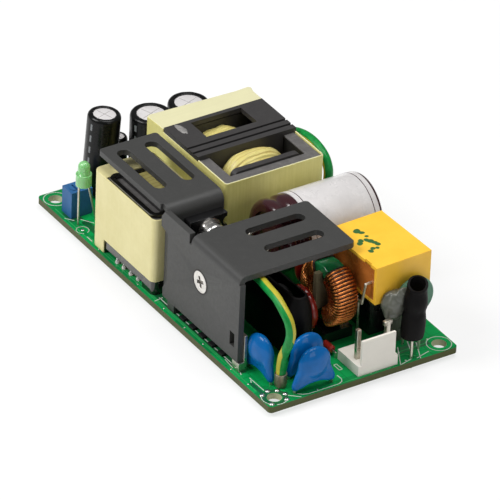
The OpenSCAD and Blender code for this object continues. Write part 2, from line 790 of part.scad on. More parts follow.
// Bobbin: tube and flanges in the window, foot rails below, and a rim on the front leg
module choke_bobbin() {
    flange_t = 0.9;
    rim_l = choke_l - choke_strip - 1.2;
    rim_w = 4.3;
    rim_h = 0.9;
    rim_wall = 1.1;
    rail_h = choke_base - deck - 1.4;
    color("#17171a") {
        flat_tube(choke_window, choke_mid, choke_leg_half, choke_leg_z, choke_tube, 0.3);
        for (x = [choke_window[0], choke_window[1] - flange_t]) {
            flat_tube([x, x + flange_t], choke_mid, choke_leg_half,
                choke_leg_z, choke_coil_half - choke_leg_half, 1);
            block([x, x + flange_t], [choke_mid - 2, choke_mid + 2], [choke_base - 0.3, choke_base + 0.4]);
            block([x, x + flange_t], [choke_mid - choke_coil_half, choke_mid - choke_coil_half + 1],
                [choke_core_top - 2, choke_core_top + rim_h]);
        }
        difference() {
            union() {
                translate([0, 0, choke_base - rail_h]) linear_extrude(rail_h) choke_plan(tape_t + 0.05);
                translate([0, 0, deck]) linear_extrude(choke_base - deck) intersection() {
                    choke_plan(tape_t + 0.05);
                    for (x = [choke_left, choke_right - 5.2], y = [choke_front, choke_back - 3.4])
                        translate([x, y]) square([5.2, 3.4]);
                }
            }
            block([choke_window[0] + 1, choke_window[1] - 1],
                [choke_front + 4, choke_back - 4], [deck, choke_base + cut]);
            leads(choke_pins, choke_base - 0.6);
        }
        translate([choke_left + choke_strip, choke_front + tape_t, choke_core_top])
            linear_extrude(rim_h) difference() {
                rounded_rect(rim_l, rim_w, rim_w / 2 - 0.01);
                translate([rim_wall, rim_wall])
                    rounded_rect(rim_l - 2 * rim_wall, rim_w - 2 * rim_wall, rim_w / 2 - rim_wall - 0.01);
            }
    }
}

module choke_winding() {
    coil = choke_coil_half - choke_leg_half - choke_tube - 0.1;
    color("#d8c84a")
        flat_tube([choke_window[0] + 1.1, choke_window[1] - 1.1], choke_mid,
            choke_leg_half + choke_tube,
            [choke_leg_z[0] - choke_tube, choke_leg_z[1] + choke_tube], coil, 1);
}

// Tape round the core, with a deeper skirt and a strip over the top at one end
module choke_tape() {
    color("#e3dc9a")
        difference() {
            union() {
                translate([0, 0, choke_base]) linear_extrude(choke_top - choke_base) choke_plan(0);
                translate([0, 0, deck + gap]) linear_extrude(choke_top - deck - gap)
                    intersection() {
                        choke_plan(0);
                        translate([choke_left, choke_front]) square([choke_strip, choke_w]);
                    }
            }
            translate([0, 0, deck]) linear_extrude(choke_core_top - deck) choke_plan(tape_t);
            translate([0, 0, deck]) linear_extrude(choke_h + cut)
                intersection() {
                    choke_plan(tape_t);
                    translate([choke_left + choke_strip, choke_front]) square([choke_l, choke_w]);
                }
        }
}

// Main transformer: an E core on its side with two windings on its round middle leg

trafo_corner = 0.9;
trafo_window = [cover_left, trafo_right - tape_t - trafo_rim];
trafo_core_y = [trafo_front + tape_t, trafo_back - tape_t];
trafo_window_y = [trafo_core_y[0] + trafo_rim, trafo_core_y[1] - trafo_rim];
trafo_tube_r = trafo_leg_r + 0.8;
barrier = [cover_right - 3.2, cover_right];
end_flange_t = 1.6;
end_flange_rise = 1;
secondary_rise = 1.3;
coil_half_y = 8.6;
coil_half_z = (core_top - core_base) / 2 - 0.5;

// Plan of the transformer's taped outline, drawn in by a margin
module trafo_plan(inset) {
    translate([trafo_left + inset, trafo_front + inset])
        rounded_rect(trafo_l - 2 * inset, trafo_w - 2 * inset, trafo_corner - inset);
}

// A block with rounded edges along X, bored for the middle leg's tube
module trafo_coil(x, half_y, half_z, r) {
    translate([x[0], trafo_mid, core_mid_z]) rotate([90, 0, 90])
        linear_extrude(x[1] - x[0]) difference() {
            translate([-half_y, -half_z]) rounded_rect(2 * half_y, 2 * half_z, r);
            circle(r = trafo_tube_r);
        }
}

module transformer_core() {
    color("#4a4a50") {
        translate([0, 0, core_base])
            linear_extrude(core_top - core_base) difference() {
                trafo_plan(tape_t);
                translate([trafo_window[0], trafo_window_y[0]])
                    square([trafo_window[1] - trafo_window[0], trafo_window_y[1] - trafo_window_y[0]]);
            }
        translate([trafo_window[0], trafo_mid, core_mid_z])
            rotate([0, 90, 0]) cylinder(r = trafo_leg_r, h = trafo_window[1] - trafo_window[0]);
    }
}

// Bobbin: tube, flanges, pin rails, and the cover plate with its window and grooves
module transformer_bobbin() {
    flange_t = 0.8;
    end_t = end_flange_t;
    color("#1d1d20") {
        difference() {
            union() {
                translate([trafo_window[0], trafo_mid, core_mid_z]) rotate([0, 90, 0])
                    cylinder(r = trafo_tube_r, h = trafo_window[1] - trafo_window[0]);
                trafo_coil([trafo_window[0], trafo_window[0] + flange_t], coil_half_y + 0.6, coil_half_z, 3);
                trafo_coil([trafo_window[1] - end_t, trafo_window[1]], coil_half_y + 0.6,
                    coil_half_z + end_flange_rise, 1.5);
                trafo_coil(barrier, trafo_window_y[1] - trafo_mid - gap, coil_half_z + 0.5, 0.5);
            }
            translate([trafo_window[0] - cut, trafo_mid, core_mid_z]) rotate([0, 90, 0])
                cylinder(r = trafo_leg_r, h = trafo_window[1] - trafo_window[0] + 2 * cut);
        }
        for (x = [
            [trafo_left + 0.7, trafo_window[0] + flange_t],
            [trafo_window[1] - flange_t, trafo_right - 0.7],
        ])
            difference() {
                block(x, [trafo_front + 1.2, trafo_back - 1.2], [deck + 0.5, core_base]);
                leads(trafo_pins, core_base - 1);
            }
        for (x = [trafo_window[0], trafo_window[1] - flange_t])
            block([x, x + flange_t], [trafo_mid - 6, trafo_mid + 6], [core_base - 0.5, core_base + 1]);
        difference() {
            block([cover_left, cover_right], [trafo_front, trafo_back], [core_top, trafo_top]);
            block([cover_left + 1.2, cover_left + 8.2], [trafo_mid - 6.9, trafo_mid + 6.9],
                [core_top - cut, trafo_top + cut]);
            for (x = [cover_right - 4.6, cover_right - 2.3])
                block([x, x + 0.7], [trafo_front - cut, trafo_back + cut],
                    [trafo_top - 0.5, trafo_top + cut]);
        }
    }
}

module primary_winding() {
    color("#d9c650")
        trafo_coil([trafo_window[0] + 0.9, barrier[0] - 0.1], coil_half_y - 1, coil_half_z - 0.4, 5);
}

module secondary_winding() {
    color("#dcc648")
        trafo_coil([barrier[1] + 0.1, trafo_window[1] - end_flange_t - 0.1], coil_half_y,
            coil_half_z + secondary_rise, 6.5);
}

// Plan of the tape: its layers stand off the core at both left corners
module taped_plan() {
    trafo_plan(0);
    polygon([
        [trafo_left + 1, trafo_back - 2], [trafo_left, trafo_back - 2],
        [trafo_left - 0.9, trafo_front + 0.4], [trafo_left - 0.4, trafo_front - 0.5],
        [cover_left, trafo_front - 0.2], [cover_right, trafo_front], [cover_right, trafo_front + 0.2],
    ]);
    polygon([
        [trafo_left, trafo_back - 4], [trafo_left - 0.3, trafo_back + 0.2], [trafo_left + 0.3, trafo_back + 0.8],
        [trafo_left + 2.2, trafo_back + 0.3], [cover_left, trafo_back + 0.3],
        [cover_right, trafo_back], [cover_right, trafo_back - 0.2],
        [trafo_left + 1, trafo_back - 4],
    ]);
}

// Tape round the core, and layers of tape over the core's end
module transformer_tape() {
    tape_foot = core_base - 1;
    rim = 0.4;
    color("#d9d58c") {
        difference() {
            translate([0, 0, tape_foot]) linear_extrude(core_top + rim - tape_foot)
                difference() {
                    taped_plan();
                    trafo_plan(tape_t);
                }
            block([cover_left - trafo_l, cover_right], [trafo_front - 1, trafo_back + cut],
                [core_top, trafo_top]);
        }
        translate([0, 0, core_top]) linear_extrude(cover_t - 0.3) intersection() {
            taped_plan();
            translate([cover_left - trafo_l, trafo_front - trafo_l / 2]) square([trafo_l, 2 * trafo_l]);
        }
    }
}

module bobbin_pins() {
    color("silver") {
        leads(choke_pins, choke_base - 0.6);
        leads(trafo_pins, core_base - 1);
    }
}

// Bulk capacitor, on its side

module bulk_capacitor() {
    r = bulk_d / 2;
    color("#4a2a26")
        translate([bulk_x, bulk_front, bulk_z]) rotate([-90, 0, 0]) difference() {
            rotate_extrude() difference() {
                union() {
                    square([r - 1.2, bulk_l]);
                    translate([0, 1.2]) square([r, bulk_l - 1.7]);
                    translate([r - 1.2, 1.2]) circle(r = 1.2);
                    translate([r - 1.2, bulk_l - 0.5]) square([0.7, 0.5]);
                    translate([r - 0.5, bulk_l - 0.5]) circle(r = 0.5);
                }
                translate([r + 0.5, 3.6]) circle(r = 1.3);
                translate([0, -cut]) square([r - 2.6, cut + 0.8]);
                translate([0, bulk_l - 0.5]) square([r - 1, cut + 0.5]);
            }
            for (s = [-1, 1])
                translate([s * bulk_pitch / 2, 0, 0]) cylinder(d = bulk_pins[0][2], h = 3);
        }
}

// Printed sleeve round the capacitor
module bulk_label() {
    color("whitesmoke")
        translate([bulk_x, bulk_front, bulk_z]) rotate([-90, 0, 0])
            rotate_extrude() translate([bulk_d / 2, 6.6]) square([0.15, bulk_l - 7.4]);
}

// An upright electrolytic capacitor, its foot at the origin
module can(d, h) {
    r = d / 2;
    difference() {
        rotate_extrude() difference() {
            union() {
                square([r - 0.6, h]);
                translate([0, 0.6]) square([r, h - 1.2]);
                for (z = [0.6, h - 0.6])
                    translate([r - 0.6, z]) circle(r = 0.6);
            }
            translate([r + 0.5, 2.2]) circle(r = 0.9);
            translate([0, h - 0.25]) square([r - 1.1, cut]);
        }
        for (a = [0, 60, 120])
            rotate(a) translate([-r + 1.6, -0.1, h - 0.4]) cube([2 * r - 3.2, 0.2, cut]);
    }
}

module output_capacitor_back() {
    color("#1b1b20") difference() {
        translate([back_cap[0], back_cap[1], cap_seat]) can(output_d, output_h);
        leads(pair(back_cap, output_pitch, 0.7), cap_seat + 1);
    }
}

module output_capacitor_middle() {
    color("#1b1b20") difference() {
        translate([middle_cap[0], middle_cap[1], cap_seat]) can(output_d, output_h);
        leads(pair(middle_cap, output_pitch, 0.7), cap_seat + 1);
    }
}

module output_capacitor_front() {
    color("#1b1b20") difference() {
        translate([front_cap[0], front_cap[1], lean_seat])
            rotate(front_cap_lean) can(front_output_d, front_output_h);
        leads(pair(front_cap, front_output_pitch, 0.7), lean_seat + 1);
    }
}

module supply_capacitor() {
    color("#1b1b20") difference() {
        translate([supply_cap[0], supply_cap[1], cap_seat]) can(supply_d, supply_h);
        leads(pair(supply_cap, supply_pitch, 0.6), cap_seat + 1);
    }
}

module capacitor_leads() {
    lead_r = bulk_pins[0][2] / 2;
    bend_r = 1.4;
    color("silver") {
        leads(pair(back_cap, output_pitch, 0.7), cap_seat + 1);
        leads(pair(middle_cap, output_pitch, 0.7), cap_seat + 1);
        leads(pair(front_cap, front_output_pitch, 0.7), lean_seat + 1);
        leads(pair(supply_cap, supply_pitch, 0.6), cap_seat + 1);
        leads(bulk_pins, bulk_z - bend_r);
        for (p = bulk_pins) {
            translate([p[0], bulk_drop_y + bend_r, bulk_z - bend_r])
                rotate([90, 0, -90]) rotate_extrude(angle = 90) translate([bend_r, 0]) circle(lead_r);
            translate([p[0], bulk_drop_y + bend_r, bulk_z]) rotate([-90, 0, 0])
                cylinder(r = lead_r, h = bulk_front + 3 - bulk_drop_y - bend_r);
        }
    }
}

// Trimmer with its rotor, and the indicator lamp

trimmer_top = deck + trimmer_h;
rotor_floor = trimmer_top - 1.3;

module trimmer_body() {
    color("#5d86c4")
        difference() {
            translate([trimmer_at[0], trimmer_at[1], deck]) cube([trimmer_w, trimmer_l, trimmer_h]);
            translate([rotor_at[0], rotor_at[1], rotor_floor])
                cylinder(d = rotor_d + 2 * rotor_clear, h = 2);
            leads(trimmer_pins, deck + 1.5);
        }
}

module trimmer_rotor() {
    color("gainsboro")
        translate([rotor_at[0], rotor_at[1], rotor_floor + rotor_clear]) difference() {
            cylinder(d = rotor_d, h = rotor_h);
            translate([-rotor_d, -0.25, rotor_h - 0.6]) cube([2 * rotor_d, 0.5, 1]);
        }
}

module led_lens() {
    collar_h = 3;
    dome_z = 6.3 - lens_d / 2;
    color("#59c26a")
        difference() {
            translate([led_at[0], led_at[1], led_seat]) {
                cylinder(d = lens_collar_d, h = collar_h);
                cylinder(d = lens_d, h = dome_z);
                translate([0, 0, dome_z]) sphere(d = lens_d);
            }
            lamp_leads();
        }
}

// The lamp's leads: the rear one is splayed towards its hole
module lamp_leads() {
    top_z = led_seat + 1;
    d = led_pins[0][2];
    leads([led_pins[0]], top_z);
    wire([
        [led_at[0], led_pins[1][1], lead_tip], [led_at[0], led_pins[1][1], deck + 0.6],
        [led_at[0], led_at[1] + led_pitch / 2, led_seat - 0.6], [led_at[0], led_at[1] + led_pitch / 2, top_z],
    ], d);
}

// Leads of the lamp, trimmer, fuse, resistor and diode
module small_leads() {
    color("silver") {
        lamp_leads();
        leads(trimmer_pins, deck + 1.5);
        leads(fuse_pins, fuse_seat + 2);
        resistor_wires();
        leads(diode_pins, diode_z);
        translate([diode_at[0] - diode_pitch / 2, diode_at[1], diode_z])
            rotate([0, 90, 0]) cylinder(d = diode_pins[0][2], h = diode_pitch);
        for (p = diode_pins)
            translate([p[0], p[1], diode_z]) sphere(d = p[2]);
    }
}

// Earth wire: a smooth curve through its route, as a tube of rings

function smooth(p, i, t) =
    let (a = p[max(i - 1, 0)], b = p[i], c = p[min(i + 1, len(p) - 1)], d = p[min(i + 2, len(p) - 1)])
    0.5 * (2 * b + t * (c - a) + t * t * (2 * a - 5 * b + 4 * c - d) + t * t * t * (3 * b - a - 3 * c + d));
function along(p, i) = p[min(i + 1, len(p) - 1)] - p[max(i - 1, 0)];
function unit(v) = v / norm(v);

module tube(path, d, sides) {
    n = len(path);
    points = [
        for (i = [0:n - 1])
            let (t = unit(along(path, i)), u = unit(cross(t, [1, 1, 1])), v = cross(t, u))
            for (k = [0:sides - 1])
                path[i] + (u * cos(360 * k / sides) + v * sin(360 * k / sides)) * d / 2
    ];
    faces = concat(
        [[for (k = [0:sides - 1]) k]],
        [for (i = [0:n - 2], k = [0:sides - 1])
            [i * sides + k, (i + 1) * sides + k, (i + 1) * sides + (k + 1) % sides, i * sides + (k + 1) % sides]],
        [[for (k = [sides - 1:-1:0]) (n - 1) * sides + k]]
    );
    polyhedron(points, faces, convexity = 6);
}

module earth_wire() {
    path = concat(
        [for (i = [0:len(earth_route) - 2], t = [0, 0.5]) smooth(earth_route, i, t)],
        [earth_route[len(earth_route) - 1]]
    );
    color("#2f8f3a") tube(path, earth_d, earth_sides);
}

// Crimp sleeves at the ends of the earth wire, with pins into the board
module earth_terminals() {
    color("silver")
        for (p = terminals) {
            translate([p[0], p[1], deck]) {
                cylinder(d1 = earth_d, d2 = earth_d + 0.6, h = 0.8);
                translate([0, 0, 0.8]) cylinder(d = earth_d + 0.6, h = terminal_h - 0.8);
            }
            leads([p], deck + 0.4);
        }
}

// Disc parts

// A lens shaped disc, its axis along Z: diameter, thickness, thickness at the rim
module lens(d, t, rim) {
    r = d / 2;
    inner = r - rim / 2;
    dome_r = (inner * inner + (t - rim) * (t - rim) / 4) / (t - rim);
    rotate_extrude() intersection() {
        union() {
            translate([0, -t / 2]) square([inner, t]);
            translate([inner, 0]) circle(d = rim);
        }
        translate([0, dome_r - t / 2]) circle(r = dome_r + rim * 0.06, $fn = 180);
        translate([0, t / 2 - dome_r]) circle(r = dome_r + rim * 0.06, $fn = 180);
        translate([0, -t / 2]) square([r + 1, t]);
    }
}

// A coated disc on two coated legs with a web of coat between them, in the XZ plane through the origin
module y_capacitor(at, turn, pins, pitch, twist = 0) {
    web_t = 1.8;
    web_foot = 0.9;
    web_arch = 0.8;
    web_r = 8.5;
    color("#1f6fc9")
        difference() {
            translate([at[0], at[1], deck]) rotate(turn) {
                translate([0, 0, disc_rise]) rotate([90, 0, twist]) lens(disc_d, disc_t, 2);
                rotate([90, 0, 0]) translate([0, 0, -web_t / 2]) linear_extrude(web_t) difference() {
                    polygon([
                        [-disc_d * 0.44, disc_rise], [-pitch / 2 - 0.2, web_foot],
                        [pitch / 2 + 0.2, web_foot], [disc_d * 0.44, disc_rise],
                    ]);
                    translate([0, web_foot + web_arch - web_r]) circle(r = web_r);
                }
                for (s = [-1, 1]) {
                    strut([s * disc_d * 0.34, 0, disc_rise - 1.2], [s * pitch / 2, 0, 1.6], 2.6, 1.7);
                    strut([s * pitch / 2, 0, 1.8], [s * pitch / 2, 0, 0.4], 1.7, 1.2);
                }
            }
            leads(pins, deck + 1.2);
        }
}

module y_capacitor_front() {
    y_capacitor(front_disc, 0, pair_x(front_disc, disc_pitch, 0.7), disc_pitch, front_disc_twist);
}

module y_capacitor_middle() {
    y_capacitor(middle_disc, 90, pair(middle_disc, disc_pitch, 0.7), disc_pitch);
}

module y_capacitor_right() {
    y_capacitor(right_disc, 90, pair(right_disc, right_disc_pitch, 0.7), right_disc_pitch);
}

module disc_leads() {
    color("silver") {
        leads(pair_x(front_disc, disc_pitch, 0.7), deck + 1.2);
        leads(pair(right_disc, right_disc_pitch, 0.7), deck + 1.2);
        leads(pair(middle_disc, disc_pitch, 0.7), deck + 1.2);
        leads(pair_x(therm_at, therm_pitch, 0.9), deck + therm_rise - 2.4);
        leads(pair_x(varistor_at, varistor_pitch, 0.8), deck + varistor_rise - 2.4);
        leads(pair(rear_varistor_at, varistor_pitch, 0.8), deck + rear_varistor_rise - 2.4);
        leads(pair(surge_at, surge_pitch, 0.6), deck + surge_rise - 1.2);
    }
}

module inrush_thermistor() {
    color("#2c2c2c")
        difference() {
            translate([therm_at[0], therm_at[1], deck + therm_rise])
                rotate([90, 0, 0]) lens(therm_d, therm_disc_t, 2.4);
            leads(pair_x(therm_at, therm_pitch, 0.9), deck + therm_rise - 2.4);
        }
}

// A pillow shaped solid, drawn in by a wall and grown past both ends
module pillow(wall, over) {
    levels = [[1.2, 0.3, 0.5], [4.6, 0.1, 0.1], [8.6, 0, 0], [12.6, 0.3, 0.5], [16.4, 1, 1.9]];
    last = len(levels) - 1;
    $fn = 32;
    hull() {
        for (i = [0:last])
            translate([0, 0, levels[i][0] + (i == 0 ? -over : i == last ? over : 0)])
                linear_extrude(0.1)
                    slot_shape(therm_l - 2 * (levels[i][1] + wall), therm_w - 2 * (levels[i][2] + wall));
    }
}

// Open sleeve round the thermistor: an oval tube, fullest at half its height and pinched at its mouth
module thermistor_sleeve() {
    color("#232325")
        translate([therm_at[0], therm_at[1], deck]) difference() {
            pillow(0, 0);
            pillow(0.35, cut);
        }
}

module varistors() {
    color("#8c2b20") {
        difference() {
            translate([varistor_at[0], varistor_at[1], deck + varistor_rise])
                rotate([90, 0, 0]) lens(varistor_d, varistor_t, 2.4);
            leads(pair_x(varistor_at, varistor_pitch, 0.8), deck + varistor_rise - 2.4);
        }
        difference() {
            translate([rear_varistor_at[0], rear_varistor_at[1], deck + rear_varistor_rise])
                rotate([0, 90, 0]) lens(varistor_d, varistor_t, 2.4);
            leads(pair(rear_varistor_at, varistor_pitch, 0.8), deck + rear_varistor_rise - 2.4);
        }
    }
}

module surge_disc() {
    color("#3f8f57")
        difference() {
            translate([surge_at[0], surge_at[1], deck + surge_rise])
                rotate([0, 90, 0]) lens(surge_d, surge_t, 1.8);
            leads(pair(surge_at, surge_pitch, 0.6), deck + surge_rise - 1.2);
        }
}

// Filter choke: two windings on a ferrite ring that stands on edge

winding_r = ring_od / 2 + copper_d;
winding_in = ring_id / 2 - copper_d;
winding_half = ring_t / 2 + copper_d;
winding_gap = (180 - winding_arc) / 2;

// Places its children in the ring's frame: the ring's axis along Z
module on_ring() {
    translate([ring_at[0], ring_at[1], ring_z]) rotate([90, 0, 0]) children();
}

module filter_core() {
    edge = 0.5;
    color("#1d7a4c")
        on_ring() rotate_extrude() {
            translate([ring_id / 2, -ring_t / 2 + edge]) square([(ring_od - ring_id) / 2, ring_t - 2 * edge]);
            translate([ring_id / 2 + edge, -ring_t / 2]) square([(ring_od - ring_id) / 2 - 2 * edge, ring_t]);
            for (x = [ring_id / 2 + edge, ring_od / 2 - edge], y = [-ring_t / 2 + edge, ring_t / 2 - edge])
                translate([x, y]) circle(edge, $fn = 24);
        }
}

// One winding: a sheath round the ring, grooved between its turns
module filter_winding(side) {
    start = side > 0 ? winding_gap - 90 : winding_gap + 90;
    step = winding_arc / turns;
    groove = 0.3;
    slack = 0.03;
    color("#c8743a")
        on_ring() difference() {
            rotate(start) rotate_extrude(angle = winding_arc) difference() {
                translate([winding_in, -winding_half])
                    rounded_rect(winding_r - winding_in, 2 * winding_half, copper_d * 0.9);
                translate([ring_id / 2 - slack, -ring_t / 2 - slack])
                    square([(ring_od - ring_id) / 2 + 2 * slack, ring_t + 2 * slack]);
            }
            for (i = [1:turns - 1])
                rotate(start + i * step) translate([0, -0.15, 0]) difference() {
                    translate([winding_in - cut, 0, -winding_half - cut])
                        cube([winding_r - winding_in + 2 * cut, 0.3, 2 * winding_half + 2 * cut]);
                    translate([winding_in + groove, -cut, -winding_half + groove])
                        cube([winding_r - winding_in - 2 * groove, 1 + cut, 2 * winding_half - 2 * groove]);
                }
        }
}

module filter_winding_left() {
    filter_winding(-1);
}

module filter_winding_right() {
    filter_winding(1);
}

// Upright plate in the ring's hole that keeps the windings apart
module filter_divider() {
    reach = ring_id / 2 - 0.25;
    tongue_y = ring_at[1] - winding_half - 0.8;
    color("#a89a6a") {
        block([ring_at[0] - 0.7, ring_at[0] + 0.7], [tongue_y, ring_at[1] + winding_half],
            [ring_z - reach, ring_z + reach]);
        block([ring_at[0] - 0.7, ring_at[0] + 0.7], [tongue_y, ring_at[1] - ring_t / 2],
            [ring_z - reach, ring_z + reach + 1.6]);
    }
}

module filter_base() {
    cradle = 2.2;
    color("#161618")
        difference() {
            union() {
                block([ring_at[0] - base_l / 2, ring_at[0] + base_l / 2],
                    [ring_at[1] - base_w / 2, ring_at[1] + base_w / 2], [deck, deck + base_h]);
                block([ring_at[0] - cradle, ring_at[0] + cradle],
                    [ring_at[1] - ring_t / 2 + 0.4, ring_at[1] + ring_t / 2 - 0.4],
                    [deck, ring_z - ring_od / 2 + 0.5]);
            }
            on_ring() cylinder(d = ring_od, h = 3 * ring_t, center = true);
            leads(ring_pins, deck + base_h - 0.8);
        }
}

// Interference capacitor: a box with its filled mouth towards the front

module x_capacitor() {
    wall = 0.8;
    mouth = 0.6;
    color("#e8b51e")
        difference() {
            translate([xcap_at[0], xcap_at[1], xcap_z]) rotate(xcap_turn) difference() {
                cube([xcap_l, xcap_w, xcap_t]);
                translate([wall, -cut, wall])
                    cube([xcap_l - 2 * wall, mouth + cut, xcap_t - 2 * wall]);
                translate([xcap_l * 0.76, -cut, xcap_t - wall - cut])
                    cube([2.4, 0.35 + cut, wall + 2 * cut]);
            }
            x_capacitor_wires();
        }
}

module x_capacitor_wires() {
    wire(xcap_lead_route, xcap_lead_d);
    leads([xcap_pins[0]], xcap_z + 3);
}

module x_capacitor_leads() {
    color("silver") x_capacitor_wires();
}

// Adhesive between the capacitor's box and the board
module silicone_bead() {
    color("#8d8f7c")
        translate([bead_at[0], bead_at[1], deck]) cylinder(r1 = 2.2, r2 = 2.6, h = xcap_z - deck);
}

bead_at = [39.9, 15.4];

module fuse_body() {
    color("#161618")
        difference() {
            translate([fuse_at[0], fuse_at[1], fuse_seat])
                rotate([90, 0, 90]) linear_extrude(fuse_l) polygon([
                    [0, 0], [fuse_w, 0], [fuse_w - 0.4, fuse_h * 0.36],
                    [fuse_w * 0.54, fuse_h * 0.85], [fuse_w * 0.26, fuse_h], [0, fuse_h * 0.96],
                ]);
            leads(fuse_pins, fuse_seat + 2);
        }
}

// Resistor standing in an open sleeve
resistor_d = 2.6;
resistor_body = [[48.35, 14.65, deck + 7.4], [47.85, 15.7, deck + 14.6]];
resistor_foot = [48.5, 14.2, deck + 5.2];
resistor_mouth = [47.5, 16, deck + 19.2];
resistor_low_route = [
    [resistor_pins[1][0], resistor_pins[1][1], lead_tip],
    [resistor_pins[1][0], resistor_pins[1][1], deck + 2.6],
    resistor_foot + [-0.2, 0.3, 0.4],
    resistor_body[0] + [0, 0, 1],
];
resistor_high_route = [
    [resistor_pins[0][0], resistor_pins[0][1], lead_tip],
    [resistor_pins[0][0], resistor_pins[0][1], deck + 5],
    [49, 14.45, deck + 15],
    [47.85, 15.7, deck + 16],
    resistor_body[1] - [0, 0, 1],
];

module resistor_wires() {
    wire(resistor_low_route, resistor_pins[1][2]);
    wire(resistor_high_route, resistor_pins[0][2]);
}

module bleed_resistor() {
    color("#c9b48a")
        difference() {
            strut(resistor_body[0], resistor_body[1], resistor_d, resistor_d);
            resistor_wires();
        }
}

// A thin round slice across the sleeve, for its hulls
module sleeve_slice(at, d) {
    lean = resistor_mouth - resistor_foot;
    translate(at) rotate([0, acos(lean[2] / norm(lean)), atan2(lean[1], lean[0])])
        cylinder(d = d, h = 0.05, center = true, $fn = 32);
}

module sleeve_solid(wall, over) {
    lean = unit(resistor_mouth - resistor_foot) * over;
    waist = resistor_foot + (resistor_mouth - resistor_foot) * 0.55 + [0, 0.5, 0];
    hull() {
        sleeve_slice(resistor_foot - lean, 5.6 - 2 * wall);
        sleeve_slice(waist, 6 - 2 * wall);
    }
    hull() {
        sleeve_slice(waist, 6 - 2 * wall);
        sleeve_slice(resistor_mouth + lean, 4.6 - 2 * wall);
    }
}

module resistor_sleeve() {
    color("#1d1d1f")
        difference() {
            sleeve_solid(0, 0);
            sleeve_solid(0.4, cut);
        }
}

// Headers

module inlet_header() {
    x = inlet_at[0];
    y = inlet_at[1];
    color("#ece9e2")
        difference() {
            union() {
                block([x, x + header_w], [y, y + inlet_l], [deck, deck + header_base_h]);
                block([x + header_w - header_wall, x + header_w], [y + wall_inset, y + inlet_l - wall_inset],
                    [deck, deck + header_wall_h]);
            }
            for (p = inlet_pins)
                square_pin(p, [deck - cut, deck + header_base_h + cut]);
        }
}

module output_header() {
    x = output_at[0];
    y = output_at[1];
    color("#ece9e2")
        difference() {
            union() {
                block([x, x + output_l], [y, y + header_w], [deck, deck + header_base_h]);
                block([x + wall_inset, x + output_l - wall_inset], [y + header_w - header_wall, y + header_w],
                    [deck, deck + header_wall_h]);
            }
            for (p = output_pins)
                square_pin(p, [deck - cut, deck + header_base_h + cut]);
        }
}

module header_pins() {
    color("silver")
        for (p = square_pins)
            square_pin(p, [lead_tip, deck + header_pin_h]);
}

// Glass diode lying over the board
diode_z = deck + 1.4;

module glass_diode() {
    color("#b5432c")
        difference() {
            translate([diode_at[0] - 1.8, diode_at[1], diode_z]) rotate([0, 90, 0]) {
                translate([0, 0, 0.4]) cylinder(d = 1.9, h = 2.8);
                cylinder(d1 = 1.2, d2 = 1.9, h = 0.4);
                translate([0, 0, 3.2]) cylinder(d1 = 1.9, d2 = 1.2, h = 0.4);
            }
            translate([diode_at[0] - diode_pitch / 2, diode_at[1], diode_z])
                rotate([0, 90, 0]) cylinder(d = diode_pins[0][2], h = diode_pitch);
        }
}

board();
solder_joints();
surface_chips();
front_heatsink();
rear_heatsink();
heatsink_lugs();
bridge_rectifier();
bridge_screw();
bridge_nut();
power_transistor();
transistor_screw();
screw_washers();
semiconductor_leads();
choke_core();
choke_bobbin();
choke_winding();
choke_tape();
transformer_core();
transformer_bobbin();
primary_winding();
secondary_winding();
transformer_tape();
bobbin_pins();
bulk_capacitor();
bulk_label();
output_capacitor_back();
output_capacitor_middle();
output_capacitor_front();
supply_capacitor();
capacitor_leads();
trimmer_body();
trimmer_rotor();
led_lens();
small_leads();
earth_wire();
earth_terminals();
y_capacitor_front();
y_capacitor_middle();
y_capacitor_right();
disc_leads();
inrush_thermistor();
thermistor_sleeve();
varistors();
surge_disc();
filter_core();
filter_winding_left();
filter_winding_right();
filter_divider();
filter_base();
x_capacitor();
x_capacitor_leads();
silicone_bead();
fuse_body();
bleed_resistor();
resistor_sleeve();
inlet_header();
output_header();
header_pins();
glass_diode();
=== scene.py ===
"""Finished look of an open frame power supply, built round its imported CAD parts."""

import json
import math

import bmesh
import bpy
from mathutils import Matrix, Vector, noise
from mathutils.kdtree import KDTree


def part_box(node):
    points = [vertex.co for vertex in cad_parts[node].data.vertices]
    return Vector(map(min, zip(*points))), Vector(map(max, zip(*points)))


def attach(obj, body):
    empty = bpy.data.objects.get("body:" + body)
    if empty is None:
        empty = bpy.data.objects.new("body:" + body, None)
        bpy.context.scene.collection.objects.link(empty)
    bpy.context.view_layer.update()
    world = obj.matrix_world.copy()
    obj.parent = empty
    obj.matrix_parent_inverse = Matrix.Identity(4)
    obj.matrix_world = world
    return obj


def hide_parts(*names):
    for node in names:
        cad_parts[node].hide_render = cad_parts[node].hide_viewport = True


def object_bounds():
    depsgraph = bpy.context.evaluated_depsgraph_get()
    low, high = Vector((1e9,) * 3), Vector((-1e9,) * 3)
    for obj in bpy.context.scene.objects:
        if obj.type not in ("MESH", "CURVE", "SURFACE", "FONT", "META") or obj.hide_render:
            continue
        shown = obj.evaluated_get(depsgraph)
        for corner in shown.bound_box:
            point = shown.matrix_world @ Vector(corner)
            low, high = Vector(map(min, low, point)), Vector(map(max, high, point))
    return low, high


bl_info = {
    "name": "Open frame power supply",
    "version": (1, 0, 0),
    "blender": (4, 5, 0),
    "location": "View3D > Sidebar > Supply",
    "description": "Builds the finished look of an open frame power supply round its CAD parts",
    "category": "Object",
}

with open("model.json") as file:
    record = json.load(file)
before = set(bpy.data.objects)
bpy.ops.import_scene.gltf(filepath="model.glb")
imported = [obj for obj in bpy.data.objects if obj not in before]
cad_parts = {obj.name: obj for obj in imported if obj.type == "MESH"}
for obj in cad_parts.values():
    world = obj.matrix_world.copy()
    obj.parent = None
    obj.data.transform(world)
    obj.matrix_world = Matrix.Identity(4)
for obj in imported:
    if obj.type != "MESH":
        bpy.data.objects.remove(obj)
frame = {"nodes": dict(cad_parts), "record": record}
cad_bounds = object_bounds()

